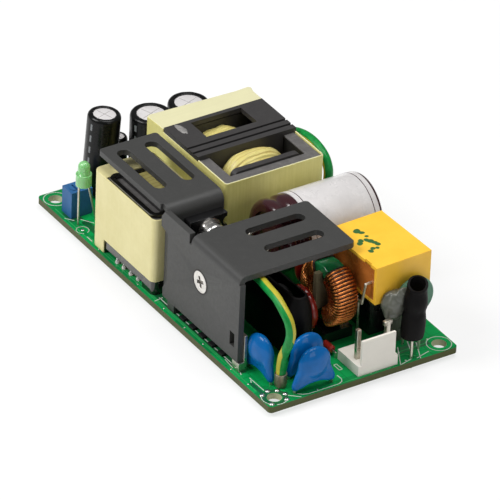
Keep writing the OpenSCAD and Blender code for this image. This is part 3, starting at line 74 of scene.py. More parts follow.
MM = 0.001
BODY = "supply"
ROTOR_BODY = "trimmer_rotor"
FULL_TURN = 2 * math.pi
SLOT_OF = {p["node"]: p["material_slot"] for p in frame["record"]["subparts"]}


def linear(code):
    """A colour from its six hexadecimal digits, as scene linear red, green and blue."""
    parts = [int(code[i:i + 2], 16) / 255 for i in (0, 2, 4)]
    return tuple(c / 12.92 if c <= 0.04045 else ((c + 0.055) / 1.055) ** 2.4 for c in parts)


def dimmed(color, *shares):
    """A colour times one share, or times a share for each channel."""
    return tuple(c * k for c, k in zip(color, shares if len(shares) == 3 else shares * 3))


# Shader helpers

def new_tree(owner):
    """A material's or a world's node tree, emptied."""
    owner.use_nodes = True
    owner.node_tree.nodes.clear()
    return owner.node_tree


def add(tree, kind, sockets=None, **settings):
    """Adds a shader node, sets its settings, and fills its sockets by value or by link."""
    made = tree.nodes.new("ShaderNode" + kind)
    for key, value in settings.items():
        setattr(made, key, value)
    for key, value in (sockets or {}).items():
        if isinstance(value, bpy.types.NodeSocket):
            tree.links.new(value, made.inputs[key])
        else:
            made.inputs[key].default_value = value
    return made


def maths(tree, operation, *values):
    """A Math node's result."""
    return add(tree, "Math", dict(enumerate(values)), operation=operation).outputs[0]


def times(tree, first, second):
    """Two values multiplied."""
    return maths(tree, "MULTIPLY", first, second)


def mixed(tree, factor, first, second):
    """Two colours mixed by a factor."""
    return add(tree, "Mix", {0: factor, 6: first, 7: second}, data_type="RGBA").outputs[2]


def cloud(tree, place, scale, detail, roughness=0.5):
    """A noise texture's value."""
    return add(tree, "TexNoise", {
        "Vector": place, "Scale": scale, "Detail": detail, "Roughness": roughness}).outputs["Fac"]


def ranged(tree, value, low, high, first=0.0, last=1.0):
    """A value taken from the range low to high over to the range first to last."""
    return add(tree, "MapRange", {"Value": value, "From Min": low, "From Max": high,
                                  "To Min": first, "To Max": last}).outputs[0]


def part_of(tree, vector, axis):
    """One axis of a vector."""
    return add(tree, "SeparateXYZ", {0: vector}).outputs[axis]


def looks_up(tree):
    """How far the surface looks up, from -1 to 1."""
    return part_of(tree, add(tree, "NewGeometry").outputs["Normal"], "Z")


def group(name, inputs, outputs, build):
    """A shader node group with named sockets, built once."""
    found = bpy.data.node_groups.get(name)
    if found:
        return found
    tree = bpy.data.node_groups.new(name, "ShaderNodeTree")
    for label, kind, value in inputs:
        socket = tree.interface.new_socket(name=label, in_out="INPUT", socket_type=kind)
        if value is not None:
            socket.default_value = value
    for label, kind in outputs:
        tree.interface.new_socket(name=label, in_out="OUTPUT", socket_type=kind)
    start = tree.nodes.new("NodeGroupInput")
    end = tree.nodes.new("NodeGroupOutput")
    for label, socket in build(tree, start.outputs).items():
        tree.links.new(socket, end.inputs[label])
    return tree


def use(tree, made, **sockets):
    """Places a group in a material and fills its sockets."""
    return add(tree, "Group", sockets, node_tree=made).outputs


VECTOR, COLOR, FLOAT = "NodeSocketVector", "NodeSocketColor", "NodeSocketFloat"
GREY = (0.5, 0.5, 0.5, 1)


def mottle():
    """Uneven colour, uneven gloss and a fine grain."""
    def build(tree, given):
        place, scale = given["Vector"], given["Scale"]
        fine = cloud(tree, place, given["Grain"], 3.0)
        both = maths(tree, "ADD", times(tree, cloud(tree, place, scale, 4.0, 0.6), 0.75),
                     times(tree, fine, 0.25))
        share = ranged(tree, both, 0.38, 0.62, last=given["Spread"])
        smear = cloud(tree, place, times(tree, scale, 0.45), 5.0, 0.7)
        return {"Color": mixed(tree, share, given["First"], given["Second"]), "Height": fine,
                "Roughness": ranged(tree, smear, 0.35, 0.65, given["Low"], given["High"])}
    return group("Mottled finish", [
        ("Vector", VECTOR, None), ("First", COLOR, GREY), ("Second", COLOR, GREY),
        ("Scale", FLOAT, 200.0), ("Spread", FLOAT, 0.5), ("Low", FLOAT, 0.3),
        ("High", FLOAT, 0.5), ("Grain", FLOAT, 3000.0),
    ], [("Color", COLOR), ("Roughness", FLOAT), ("Height", FLOAT)], build)


def dusting():
    """Pale dust that settles on faces that look up."""
    def build(tree, given):
        patch = ranged(tree, cloud(tree, given["Vector"], 420.0, 6.0, 0.75), 0.5, 0.75)
        level = times(tree, times(tree, maths(tree, "MAXIMUM", looks_up(tree), 0.0), patch), given["Amount"])
        return {"Color": mixed(tree, level, given["Color"], (0.55, 0.53, 0.49, 1))}
    return group("Settled dust", [
        ("Vector", VECTOR, None), ("Color", COLOR, GREY), ("Amount", FLOAT, 0.1),
    ], [("Color", COLOR)], build)


def bands():
    """Even ridges across one direction, for the folds of tape."""
    def build(tree, given):
        wave = add(tree, "TexWave", {
            "Vector": given["Vector"], "Scale": given["Scale"], "Distortion": given["Waver"],
            "Detail": 2.0, "Detail Scale": 0.6}, bands_direction="Z")
        return {"Height": wave.outputs["Fac"]}
    return group("Ridges", [
        ("Vector", VECTOR, None), ("Scale", FLOAT, 300.0), ("Waver", FLOAT, 0.5),
    ], [("Height", FLOAT)], build)


def streaks():
    """Fine parallel marks: along Y on faces that look up, along Z on upright ones."""
    def build(tree, given):
        level = maths(tree, "GREATER_THAN", maths(tree, "ABSOLUTE", looks_up(tree)), 0.5)
        along_y, along_z = [
            cloud(tree, add(tree, "Mapping", {"Vector": given["Vector"], "Scale": size}).outputs[0],
                  given["Scale"], 3.0, 0.6)
            for size in ((1.0, 0.05, 1.0), (1.0, 1.0, 0.05))]
        both = add(tree, "Mix", {0: level, 2: along_z, 3: along_y}).outputs[0]
        return {"Mask": ranged(tree, both, 0.35, 0.65)}
    return group("Streaks", [
        ("Vector", VECTOR, None), ("Scale", FLOAT, 1500.0),
    ], [("Mask", FLOAT)], build)


def daubs():
    """A soft edged daub round a point."""
    def build(tree, given):
        far = add(tree, "VectorMath", {0: given["Vector"], 1: given["Centre"]}, operation="DISTANCE")
        wander = maths(tree, "SUBTRACT", cloud(tree, given["Vector"], 500.0, 1.0), 0.5)
        reach = maths(tree, "ADD", far.outputs["Value"], times(tree, wander, 0.001))
        return {"Mask": ranged(tree, reach, given["Radius"], times(tree, given["Radius"], 0.85))}
    return group("Daub", [
        ("Vector", VECTOR, None), ("Centre", VECTOR, None), ("Radius", FLOAT, 0.001),
    ], [("Mask", FLOAT)], build)


class Finish:
    """A material on Object coordinates with one Principled shader."""

    def __init__(self, name, shine=None):
        self.material = bpy.data.materials.new(name)
        self.tree = new_tree(self.material)
        self.place = add(self.tree, "TexCoord").outputs["Object"]
        self.shader = add(self.tree, "BsdfPrincipled", shine)
        add(self.tree, "OutputMaterial", {"Surface": self.shader.outputs[0]})
        self.color = None
        self.height = None

    def mottle(self, first, second=None, scale=200.0, spread=0.5, rough=(0.3, 0.5), grain=3000.0):
        """Starts the colour, the roughness and the relief with the mottled finish."""
        second = second or dimmed(first, 0.7)
        out = use(self.tree, mottle(), Vector=self.place, First=(*first[:3], 1), Second=(*second[:3], 1),
                  Scale=scale, Spread=spread, Low=rough[0], High=rough[1], Grain=grain)
        self.color, self.height = out["Color"], out["Height"]
        self.tree.links.new(out["Roughness"], self.shader.inputs["Roughness"])
        return self

    def dust(self, amount):
        """Lays dust over the colour."""
        self.color = use(self.tree, dusting(), Vector=self.place, Color=self.color, Amount=amount)["Color"]
        return self

    def streak(self, color, share):
        """Draws fine streaks in the colour and the relief."""
        mask = use(self.tree, streaks(), Vector=self.place)["Mask"]
        self.height = maths(self.tree, "ADD", self.height, times(self.tree, mask, 0.5))
        return self.paint(times(self.tree, mask, share), color)

    def daub(self, centre, radius, color, within=1.0):
        """Paints a daub round a point given in millimetres."""
        mask = use(self.tree, daubs(), Vector=self.place, Centre=[c * MM for c in centre],
                   Radius=radius * MM)["Mask"]
        return self.paint(times(self.tree, mask, within), color)

    def paint(self, mask, color):
        """Lays a colour over what is there, by a mask."""
        self.color = mixed(self.tree, mask, self.color, (*color[:3], 1))
        return self

    def done(self, bump=0.1, depth=0.0001):
        """Joins the colour and the relief to the shader. The depth is in metres."""
        self.tree.links.new(self.color, self.shader.inputs["Base Color"])
        relief = add(self.tree, "Bump", {"Strength": bump, "Distance": depth, "Height": self.height})
        self.tree.links.new(relief.outputs[0], self.shader.inputs["Normal"])
        return self.material


# Mesh helpers, in millimetres

def span(node):
    """The low and high corners of a CAD node, in millimetres."""
    return [Vector(corner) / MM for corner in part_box(node)]


def put(name, bm, slot, stands_for=(), finish=None, body=BODY, smooth=35, weld=True, place=None):
    """Makes a finished piece of a mesh in millimetres, rides it on its body and names its finish."""
    if place:
        bmesh.ops.transform(bm, matrix=place, verts=bm.verts)
    if weld:
        bmesh.ops.remove_doubles(bm, verts=bm.verts, dist=1e-4)
        bmesh.ops.recalc_face_normals(bm, faces=bm.faces)
    bmesh.ops.scale(bm, vec=(MM, MM, MM), verts=bm.verts)
    for face in bm.faces:
        face.smooth = True
    mesh = bpy.data.meshes.new(name)
    bm.to_mesh(mesh)
    bm.free()
    mesh.set_sharp_from_angle(angle=math.radians(smooth))
    made = bpy.data.objects.new(name, mesh)
    bpy.context.scene.collection.objects.link(made)
    for one in (finish,) if isinstance(finish, str) else finish or (slot,):
        mesh.materials.append(finish_of(one))
    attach(made, body)
    if stands_for:
        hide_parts(*stands_for)
    return made


def box_mesh(bm, x, y, z, bevel=0.0, turn=None):
    """Adds a block between two corners, with rounded edges."""
    made = bmesh.ops.create_cube(bm, size=1)["verts"]
    middle = Vector(((x[0] + x[1]) / 2, (y[0] + y[1]) / 2, (z[0] + z[1]) / 2))
    bmesh.ops.scale(bm, vec=(x[1] - x[0], y[1] - y[0], z[1] - z[0]), verts=made)
    if turn:
        bmesh.ops.transform(bm, matrix=turn, verts=made)
    bmesh.ops.translate(bm, vec=middle, verts=made)
    if bevel:
        edges = list({e for v in made for e in v.link_edges})
        bmesh.ops.bevel(bm, geom=edges, offset=bevel, offset_type="OFFSET", segments=2,
                        profile=0.5, affect="EDGES", clamp_overlap=True, material=-1)


def lathe(bm, profile, steps=64, at=(0, 0, 0), turn=None):
    """Spins a chain of (radius, height) points round the Z axis, then turns and places it."""
    chain = [bm.verts.new((r, 0, z)) for r, z in profile]
    edges = [bm.edges.new(pair) for pair in zip(chain, chain[1:])]
    before = set(bm.verts) - set(chain)
    bmesh.ops.spin(bm, geom=chain + edges, cent=(0, 0, 0), axis=(0, 0, 1), angle=FULL_TURN,
                   steps=steps, use_merge=True)
    bmesh.ops.remove_doubles(bm, verts=[v for v in bm.verts if v not in before], dist=1e-5)
    bmesh.ops.transform(bm, matrix=Matrix.Translation(at) @ (turn or Matrix()).to_4x4(),
                        verts=[v for v in bm.verts if v not in before])


def spun(*profiles, steps=64):
    """A new mesh with some profiles spun round the Z axis."""
    bm = bmesh.new()
    for profile in profiles:
        lathe(bm, profile, steps)
    return bm


def washer(inner, outer, low, high):
    """The profile of a flat ring."""
    return [(inner, low), (outer, low), (outer, high), (inner, high), (inner, low)]


def skin(bm, rings, closed=False):
    """Draws a surface through rings of equal length by extruding each ring's edges to the next."""
    here = bmesh.ops.create_circle(bm, cap_ends=not closed, segments=len(rings[0]), radius=1)["verts"]
    edges = list({e for v in here for e in v.link_edges if e.other_vert(v) in set(here)})
    first = here
    for vert, point in zip(here, rings[0]):
        vert.co = point
    for ring in rings[1:]:
        made = bmesh.ops.extrude_edge_only(bm, edges=edges)["geom"]
        fresh = {g for g in made if isinstance(g, bmesh.types.BMVert)}
        here = [next(e.other_vert(v) for e in v.link_edges if e.other_vert(v) in fresh) for v in here]
        edges = [g for g in made if isinstance(g, bmesh.types.BMEdge)
                 and g.verts[0] in fresh and g.verts[1] in fresh]
        for vert, point in zip(here, ring):
            vert.co = point
    if closed:
        loops = edges + [e for v in first for e in v.link_edges if e.other_vert(v) in set(first)]
        bmesh.ops.bridge_loops(bm, edges=list(set(loops)))
    else:
        bmesh.ops.holes_fill(bm, edges=edges, sides=0)


def turns(count):
    """Even angles round a full turn."""
    return [FULL_TURN * k / count for k in range(count)]


def ring_round(point, radius, first, second, sides):
    """A circle of points round a point, in the plane of two directions."""
    return [point + radius * (first * math.cos(a) + second * math.sin(a)) for a in turns(sides)]


def closed_wire(bm, path, diameter, sides):
    """Adds a round wire along a closed path, its section carried along without turning."""
    normal = None
    rings = []
    for i, point in enumerate(path):
        along = (path[(i + 1) % len(path)] - path[i - 1]).normalized()
        if normal is None:
            normal = along.orthogonal().normalized()
        normal = (normal - normal.project(along)).normalized()
        rings.append(ring_round(point, diameter / 2, normal, along.cross(normal), sides))
    skin(bm, rings, closed=True)


def smooth_path(points, steps):
    """A curve through the points."""
    p = [Vector(q) for q in points]
    out = []
    for i in range(len(p) - 1):
        a, b, c, d = p[max(i - 1, 0)], p[i], p[i + 1], p[min(i + 2, len(p) - 1)]
        for k in range(steps):
            t = k / steps
            out.append(0.5 * (2 * b + t * (c - a) + t * t * (2 * a - 5 * b + 4 * c - d)
                              + t ** 3 * (3 * b - a - 3 * c + d)))
    return out + [p[-1]]


def squared(c, s, power):
    """What turns a circle's cosine and sine into a rounded square's."""
    return (abs(c) ** power + abs(s) ** power) ** (-1 / power)


def copy_of(node):
    """A welded copy of a CAD node's mesh, in millimetres, with its flat faces merged."""
    bm = bmesh.new()
    bm.from_mesh(frame["nodes"][node].data)
    bmesh.ops.scale(bm, vec=(1 / MM, 1 / MM, 1 / MM), verts=bm.verts)
    bmesh.ops.remove_doubles(bm, verts=bm.verts, dist=1e-3)
    bmesh.ops.dissolve_limit(bm, angle_limit=math.radians(0.6), verts=bm.verts, edges=bm.edges)
    return bm


def round_edges(piece, width):
    """Rounds a piece's sharp edges with a live modifier."""
    bevel = piece.modifiers.new("Rounded edges", "BEVEL")
    bevel.width = width * MM
    bevel.segments = 2
    bevel.limit_method = "ANGLE"
    bevel.angle_limit = math.radians(38)
    bevel.use_clamp_overlap = True
    bevel.harden_normals = True


def softened(node, width, **given):
    """A CAD node's copy with rounded edges that stands for it."""
    round_edges(put(node + "_rounded", copy_of(node), SLOT_OF[node], [node], **given), width)


def ripple(point, size, seed):
    """A smooth random number for a point, from -1 to 1."""
    return noise.noise(Vector(point) / size + Vector((seed, seed * 1.7, -seed)))


def blob(bm, centre, shape, swell):
    """Adds a lump: a ball, swollen by one function of its points and shaped by another."""
    for v in bmesh.ops.create_icosphere(bm, subdivisions=4, radius=1)["verts"]:
        v.co = Vector(centre) + swell(v.co) * Vector(shape(*v.co))


# Sizes and colours that a user may change

def shade(label, code, about):
    """A colour property with its default given in hexadecimal digits."""
    return bpy.props.FloatVectorProperty(
        name=label, description=about, subtype="COLOR", size=3, min=0, max=1, default=linear(code))


def length(label, value, about, low=0.0):
    """A length property, in metres."""
    return bpy.props.FloatProperty(
        name=label, description=about, unit="LENGTH", default=value * MM, min=low * MM, precision=5)


class SupplyLook(bpy.types.PropertyGroup):
    """Colours of the power supply's finishes."""
    board: shade("Board", "0c9a4e", "Solder mask over bare laminate")
    mask: shade("Mask over copper", "0f5c31", "Solder mask over copper tracks")
    laminate: shade("Laminate", "4e5232", "Cut edge of the board")
    sheet: shade("Heatsinks", "393938", "Black coat of the heatsinks")
    tape: shade("Choke tape", "d9d09a", "Tape round the choke")
    winding_tape: shade("Winding tape", "d2c67d", "Tape round the transformer's windings")
    core_tape: shade("Transformer tape", "e2da8c", "Tape round the transformer's core")
    ferrite: shade("Ferrite", "5b5958", "Ground ferrite")
    plastic: shade("Bobbins", "151415", "Moulded bobbins")
    sleeve: shade("Capacitor sleeves", "0a0b0b", "Shrunk sleeves of the output capacitors")
    bulk: shade("Bulk capacitor", "35151a", "Sleeve at the lead end of the bulk capacitor")
    label: shade("Bulk sleeve", "d2cfce", "Bare printed part of the bulk capacitor's sleeve")
    copper: shade("Copper", "cc8340", "Enamelled copper wire")
    core: shade("Ring core", "1c7a46", "Epoxy coat of the ferrite ring")
    box: shade("Film capacitor", "f3bf3a", "Box of the interference capacitor")
    resin: shade("Resin", "b86c2e", "Resin in the mouth of the box")
    blue: shade("Blue discs", "0060a6", "Dipped coat of the blue disc capacitors")
    # The varistors' maroon is darkened beyond the coat's own red: painted shade.
    red: shade("Red discs", "7e1a10", "Dipped coat of the varistors")
    surge: shade("Green disc", "55806a", "Dipped coat of the surge disc")
    nylon: shade("Headers", "dedad0", "Moulded pin headers")
    trimmer: shade("Trimmer", "2c5f92", "Trimmer's case")
    lamp: shade("Lamp", "8fd48a", "Lens of the indicator lamp")
    earth: shade("Earth green", "0f8a3c", "Ground colour of the earth wire")
    stripe: shade("Earth yellow", "b8ae34", "Stripe of the earth wire")


class SupplyDetail(bpy.types.PropertyGroup):
    """Sizes of the power supply's finish."""
    sheet_edge: length("Sheet edge", 0.22, "Rounding of the heatsinks' edges")
    tape_edge: length("Tape edge", 0.3, "Rounding of the taped boxes")
    moulded_edge: length("Moulded edge", 0.2, "Rounding of moulded plastic")
    copper_wire: length("Copper wire", 0.62, "Diameter of the filter choke's wire", 0.3)
    turns: bpy.props.IntProperty(
        name="Turns", description="Turns in each winding of the filter choke", default=22, min=6, max=26)
    earth_wire: length("Earth wire", 2.3, "Diameter of the earth wire over its insulation", 1.0)
    print_width: length("Print width", 0.2, "Width of the white lines on the board", 0.1)


# Finishes: one for each material slot of the record, and those that a part of a piece has

def gloss(specular=0.5, coat=0.0, coat_rough=0.03, **more):
    """The shader values of a finish's shine."""
    return {"Specular IOR Level": specular, "Coat Weight": coat, "Coat Roughness": coat_rough, **more}


def plain(name, first, rough, shine=None, second=None, bump=0.1, depth=0.00005, dust=0.0,
          scale=200.0, spread=0.5, grain=3000.0):
    """A mottled finish with a fine grain."""
    made = Finish(name, shine).mottle(first, second, scale, spread, rough, grain)
    if dust:
        made.dust(dust)
    return made.done(bump, depth)


# The board's top, and the centres of its four holes.
DECK = 1.6
HOLES = [(x, y) for x in (-47.63, 47.63) for y in (-22.2, 22.2)]


def board_finish(look):
    """Solder mask over copper areas, with the bare laminate at the board's edge, and painted light on the
    walls of the holes.
    """
    made = Finish("green solder mask", gloss(0.1, 0.05, 0.2))
    made.mottle(look.board, dimmed(look.board, 0.8), 260.0, 0.6, (0.28, 0.42), 4000.0)
    areas = add(made.tree, "TexBrick", {
        "Vector": made.place, "Scale": 1.0, "Mortar Size": 0.00012, "Mortar Smooth": 0.3,
        "Brick Width": 0.0063, "Row Height": 0.0037}, offset=0.37, squash=0.6, squash_frequency=3)
    patch = add(made.tree, "TexVoronoi", {"Vector": made.place, "Scale": 110.0, "Randomness": 1.0},
                distance="CHEBYCHEV").outputs["Color"]
    tone = add(made.tree, "SeparateColor", {0: patch}).outputs[0]
    made.paint(times(made.tree, maths(made.tree, "GREATER_THAN", tone, 0.62), 0.45), look.mask)
    made.paint(times(made.tree, areas.outputs["Fac"], 0.5), look.mask)
    side = maths(made.tree, "LESS_THAN", maths(made.tree, "ABSOLUTE", looks_up(made.tree)), 0.5)
    made.paint(side, look.laminate)
    # Painted light: the walls of the four holes are painted pale for the light that shows through them.
    for x, y in HOLES:
        made.daub((x, y, DECK / 2), 2.6, (0.5, 0.52, 0.34), side)
    return made.done(0.1, 0.00003)


def tape_finish(name, color, rough=(0.3, 0.45), share=0.5, flat=0.0, folds=0.0):
    """Glossy translucent tape: cloudy colour, fine streaks, brown in its folds, and painted light that makes
    faces that look up paler.
    """
    made = Finish(name, gloss(0.4, 0.12, 0.25))
    made.mottle(color, dimmed(color, 0.9, 0.89, 0.8), 130.0, 0.7, rough, 900.0)
    made.streak(dimmed(color, 0.74, 0.73, 0.55), share)
    if folds:
        across = add(made.tree, "Mapping", {"Vector": made.place, "Rotation": (0, math.pi / 2, 0)}).outputs[0]
        fold = use(made.tree, bands(), Vector=across, Scale=230.0, Waver=3.0)["Height"]
        made.paint(ranged(made.tree, fold, 0.8, 1.0, last=folds), (0.36, 0.22, 0.05))
    # Painted light: by the share flat, faces that look up are mixed toward a pale grey.
    level = maths(made.tree, "GREATER_THAN", looks_up(made.tree), 0.7)
    return made.paint(times(made.tree, level, flat), (0.6, 0.59, 0.48)).done()


def tin(name, color, rough, bump=0.2, dark=0.72):
    """Bare metal."""
    return plain(name, color, rough, {"Metallic": 1.0}, dimmed(color, dark), bump, 0.00002,
                 scale=900.0, spread=0.6, grain=7000.0)


def core_finish(look):
    """Ferrite with a ground top, near black below it."""
    made = Finish("ground core, near black below")
    made.mottle(look.ferrite, dimmed(look.ferrite, 0.6), 1500.0, 0.5, (0.45, 0.6), 7000.0).dust(0.1)
    top = (span("transformer_core")[1].z - 0.35) * MM
    below = maths(made.tree, "LESS_THAN", part_of(made.tree, made.place, "Z"), top)
    return made.paint(below, (0.008, 0.008, 0.008)).done(0.3, 0.00005)


# Marker ink on the yellow box: its colour, and each daub's X, Y and radius.
INK = (0.03, 0.12, 0.03)
INK_DAUBS = (
    (27.4, 12.1, 1.0), (28.4, 12.6, 0.8), (30.2, 12.7, 0.6), (31.4, 11.9, 0.8), (32.2, 12.6, 0.9),
    (33.2, 13.0, 0.7), (34.2, 13.2, 0.8), (31.2, 10.6, 0.8), (32.0, 9.8, 0.7), (35.2, 11.3, 0.8),
    (36, 10.3, 0.8), (35.4, 12.2, 0.6),
)


def box_finish(look):
    """Yellow box with daubs of marker ink on its lid."""
    lid = span("x_capacitor")[1].z
    made = Finish("yellow moulded box", gloss(0.35, 0.1, 0.25))
    made.mottle(look.box, dimmed(look.box, 0.92, 0.86, 0.7), 220.0, 0.5, (0.32, 0.46), 4000.0)
    for x, y, radius in INK_DAUBS:
        made.daub((x, y, lid), radius, INK)
    return made.done(0.08, 0.00004)


def make_finishes(look):
    """Every finish by its slot or its name."""
    matt, wet, film = gloss(0.25), gloss(0.4, 0.5, 0.07), gloss(coat=0.3, coat_rough=0.1)
    lens = gloss(0.5, 0.6, 0.08, **{
        "Transmission Weight": 0.25, "IOR": 1.5, "Subsurface Weight": 0.35,
        "Subsurface Radius": (0.4, 1.0, 0.5), "Subsurface Scale": 0.002})
    return {
        "board": board_finish(look),
        "print": plain("white print", (0.62, 0.66, 0.6), (0.5, 0.65), spread=0.4),
        "track": plain("mask over tracks", (0.03, 0.36, 0.1), (0.3, 0.45), matt, scale=700.0),
        "deep_mask": plain("dark mask", look.mask, (0.3, 0.45)),
        "solder": tin("bright solder", (0.66, 0.65, 0.62), (0.22, 0.38)),
        "chips": plain("chip moulding", (0.012, 0.012, 0.013), (0.45, 0.6), matt),
        "black_sheet": plain("black coated sheet", look.sheet, (0.42, 0.52), gloss(0.4),
                             dimmed(look.sheet, 0.82), 0.22, 0.00004, 0.015, 2600.0, grain=7000.0),
        "tinned": tin("tin plate", (0.62, 0.58, 0.5), (0.25, 0.4), dark=0.6),
        "terminal": tin("dull tin", (0.36, 0.31, 0.23), (0.42, 0.55), dark=0.5),
        "screw_steel": tin("nickel plate", (0.72, 0.7, 0.67), (0.15, 0.28), 0.1),
        "recess": plain("dark recess", (0.012, 0.009, 0.008), (0.5, 0.6)),
        "black_case": plain("black moulding", (0.007, 0.007, 0.0075), (0.16, 0.28), wet, bump=0.08,
                            dust=0.01, grain=6000.0),
        "ferrite": plain("ground ferrite", look.ferrite, (0.45, 0.6), None, dimmed(look.ferrite, 0.6),
                         0.3, dust=0.15, scale=1500.0, grain=7000.0),
        "core": core_finish(look),
        "bobbin": plain("glossy black moulding", look.plastic, (0.22, 0.34), gloss(0.25, 0.3, 0.1),
                        bump=0.08, dust=0.03),
        "choke_bobbin": plain("polished black moulding", (0.006, 0.006, 0.006), (0.1, 0.18),
                              gloss(coat=0.8, coat_rough=0.05), bump=0.05),
        "cover": plain("grey black moulding", (0.034, 0.032, 0.032), (0.4, 0.5), bump=0.25, dust=0.02,
                       scale=2600.0, grain=7000.0),
        "glue": plain("grey glue", (0.26, 0.25, 0.24), (0.3, 0.5), None, (0.08, 0.08, 0.08),
                      scale=900.0, grain=600.0),
        "yellow_tape": tape_finish("winding tape", look.winding_tape, (0.22, 0.38), 0.3, folds=0.45),
        # The core tape's tops are painted paler: painted light.
        "pale_tape": tape_finish("core tape", look.core_tape, share=0.3, flat=0.6),
        "choke_tape": tape_finish("choke tape", look.tape, share=0.12),
        "cap_sleeve": plain("shrunk black sleeve", look.sleeve, (0.22, 0.36), gloss(0.2, 0.08, 0.15),
                            (0.002, 0.002, 0.0022), 0.2, 0.0001, 0.0, 400.0, 0.6, 900.0),
        "sleeve_print": plain("pale sleeve print", (0.17, 0.18, 0.19), (0.3, 0.45)),
        "can_top": plain("bare can top", (0.7, 0.675, 0.675), (0.35, 0.5), {"Metallic": 0.2}, spread=0.3),
        "score": plain("scored line", (0.22, 0.21, 0.2), (0.4, 0.6)),
        "bulk_sleeve": plain("red brown sleeve", look.bulk, (0.12, 0.22), wet, depth=0.0001, grain=900.0),
        "white_label": plain("pale sleeve", look.label, (0.24, 0.34), film, None, 0.08, 0.0001,
                             spread=0.3, grain=800.0),
        "blue_case": plain("blue moulding", look.trimmer, (0.4, 0.55), matt, dust=0.04),
        "rotor": plain("blue rotor", look.trimmer, (0.35, 0.5), matt),
        "lens": plain("diffused green lens", look.lamp, (0.25, 0.35), lens, dimmed(look.lamp, 0.85),
                      0.03, 0.00003, 0.0, 600.0, 0.4),
        "earth_green": plain("green insulation", look.earth, (0.3, 0.45), matt, dimmed(look.earth, 0.6),
                             0.05, scale=900.0, spread=0.8),
        "stripe": plain("yellow stripe", look.stripe, (0.3, 0.45), gloss(0.3), bump=0.05),
        "blue_coat": plain("blue dipped coat", look.blue, (0.32, 0.45), gloss(0.1, 0.3, 0.04), None,
                           0.12, 0.0002, 0.0, 260.0, grain=600.0),
        "therm_coat": plain("black dipped coat", (0.02, 0.02, 0.02), (0.3, 0.45), matt),
        "sleeve": plain("black shrunk sleeve", (0.0025, 0.002, 0.002), (0.5, 0.62), gloss(0.12), None,
                        0.25, 0.0001, grain=1500.0),
        "red_coat": plain("red dipped coat", look.red, (0.16, 0.28), wet, grain=900.0),
        "green_coat": plain("green dipped coat", look.surge, (0.4, 0.55), matt, grain=900.0),
        "green_core": plain("green epoxy coat", look.core, (0.14, 0.26), wet, None, 0.12, 0.0001,
                            grain=900.0),
        "copper": plain("enamelled copper", look.copper, (0.2, 0.32), gloss(
            0.5, 0.35, 0.15, **{"Metallic": 0.9, "Coat Tint": (1.0, 0.72, 0.45, 1)}),
            dimmed(look.copper, 0.5, 0.36, 0.25), 0.05, 0.00002, 0.0, 900.0, 0.7, 5000.0),
        # Painted shade: a dark brown inner layer of turns that darkens the gaps between the top turns.
        "copper_bed": plain("dark inner layer of painted shade", (0.035, 0.013, 0.006), (0.3, 0.45)),
        # The fibre sheet's tan is darkened beyond its own colour: painted shade.
        "divider": plain("fibre sheet", (0.17, 0.14, 0.08), (0.55, 0.7), matt),
        "box_yellow": box_finish(look),
        "resin": plain("amber resin", look.resin, (0.2, 0.35), film, None, 0.1, 0.0002, 0.0,
                       300.0, 0.6, 700.0),
        "silicone": plain("set adhesive", (0.1, 0.105, 0.085), (0.25, 0.4), film, None, 0.25, 0.0003,
                          grain=600.0),
        "resistor": plain("lacquer", (0.52, 0.4, 0.2), (0.25, 0.4)),
        "white_nylon": plain("white nylon", look.nylon, (0.4, 0.55), matt, dimmed(look.nylon, 0.88),
                             0.05, spread=0.3),
        "glass_red": plain("glass bead", (0.42, 0.03, 0.02), (0.06, 0.12),
                           gloss(coat=1.0, **{"Transmission Weight": 0.2})),
    }


finishes = {}


def finish_of(name):
    """A finish by its slot or its name. All are made when the first one is asked for."""
    if not finishes:
        finishes.update(make_finishes(bpy.context.scene.supply_look))
    return finishes[name]


# Camera, lamps and floor

# Fitted to the board's corners and holes in the photograph, in millimetres.
CAMERA_TARGET = Vector((4.222, -1.499, 10.0))
CAMERA_DISTANCE = 1500.0
CAMERA_TURN = math.radians(56.311)
CAMERA_RISE = math.radians(32.673)
CAMERA_ROLL = math.radians(2.390)
CAMERA_LENS = 470.34
WHITE = (1, 1, 1, 1)

# Each lamp's name, place in metres, width and power.
LAMPS = (
    ("key lamp", (-0.22, -0.55, 0.62), 0.42, 5.6),
    ("top lamp", (0.05, 0.12, 0.75), 0.5, 3.8),
    ("side lamp", (0.75, 0.05, 0.35), 0.35, 0.9),
)

# How much the backdrop lights the object, how much of the floor glows white for the camera, and
# how far the floor lies under the leads' tips.
WORLD_LEVEL = 0.2
FLOOR_GLOW = 0.72
FLOOR_GAP = 0.02


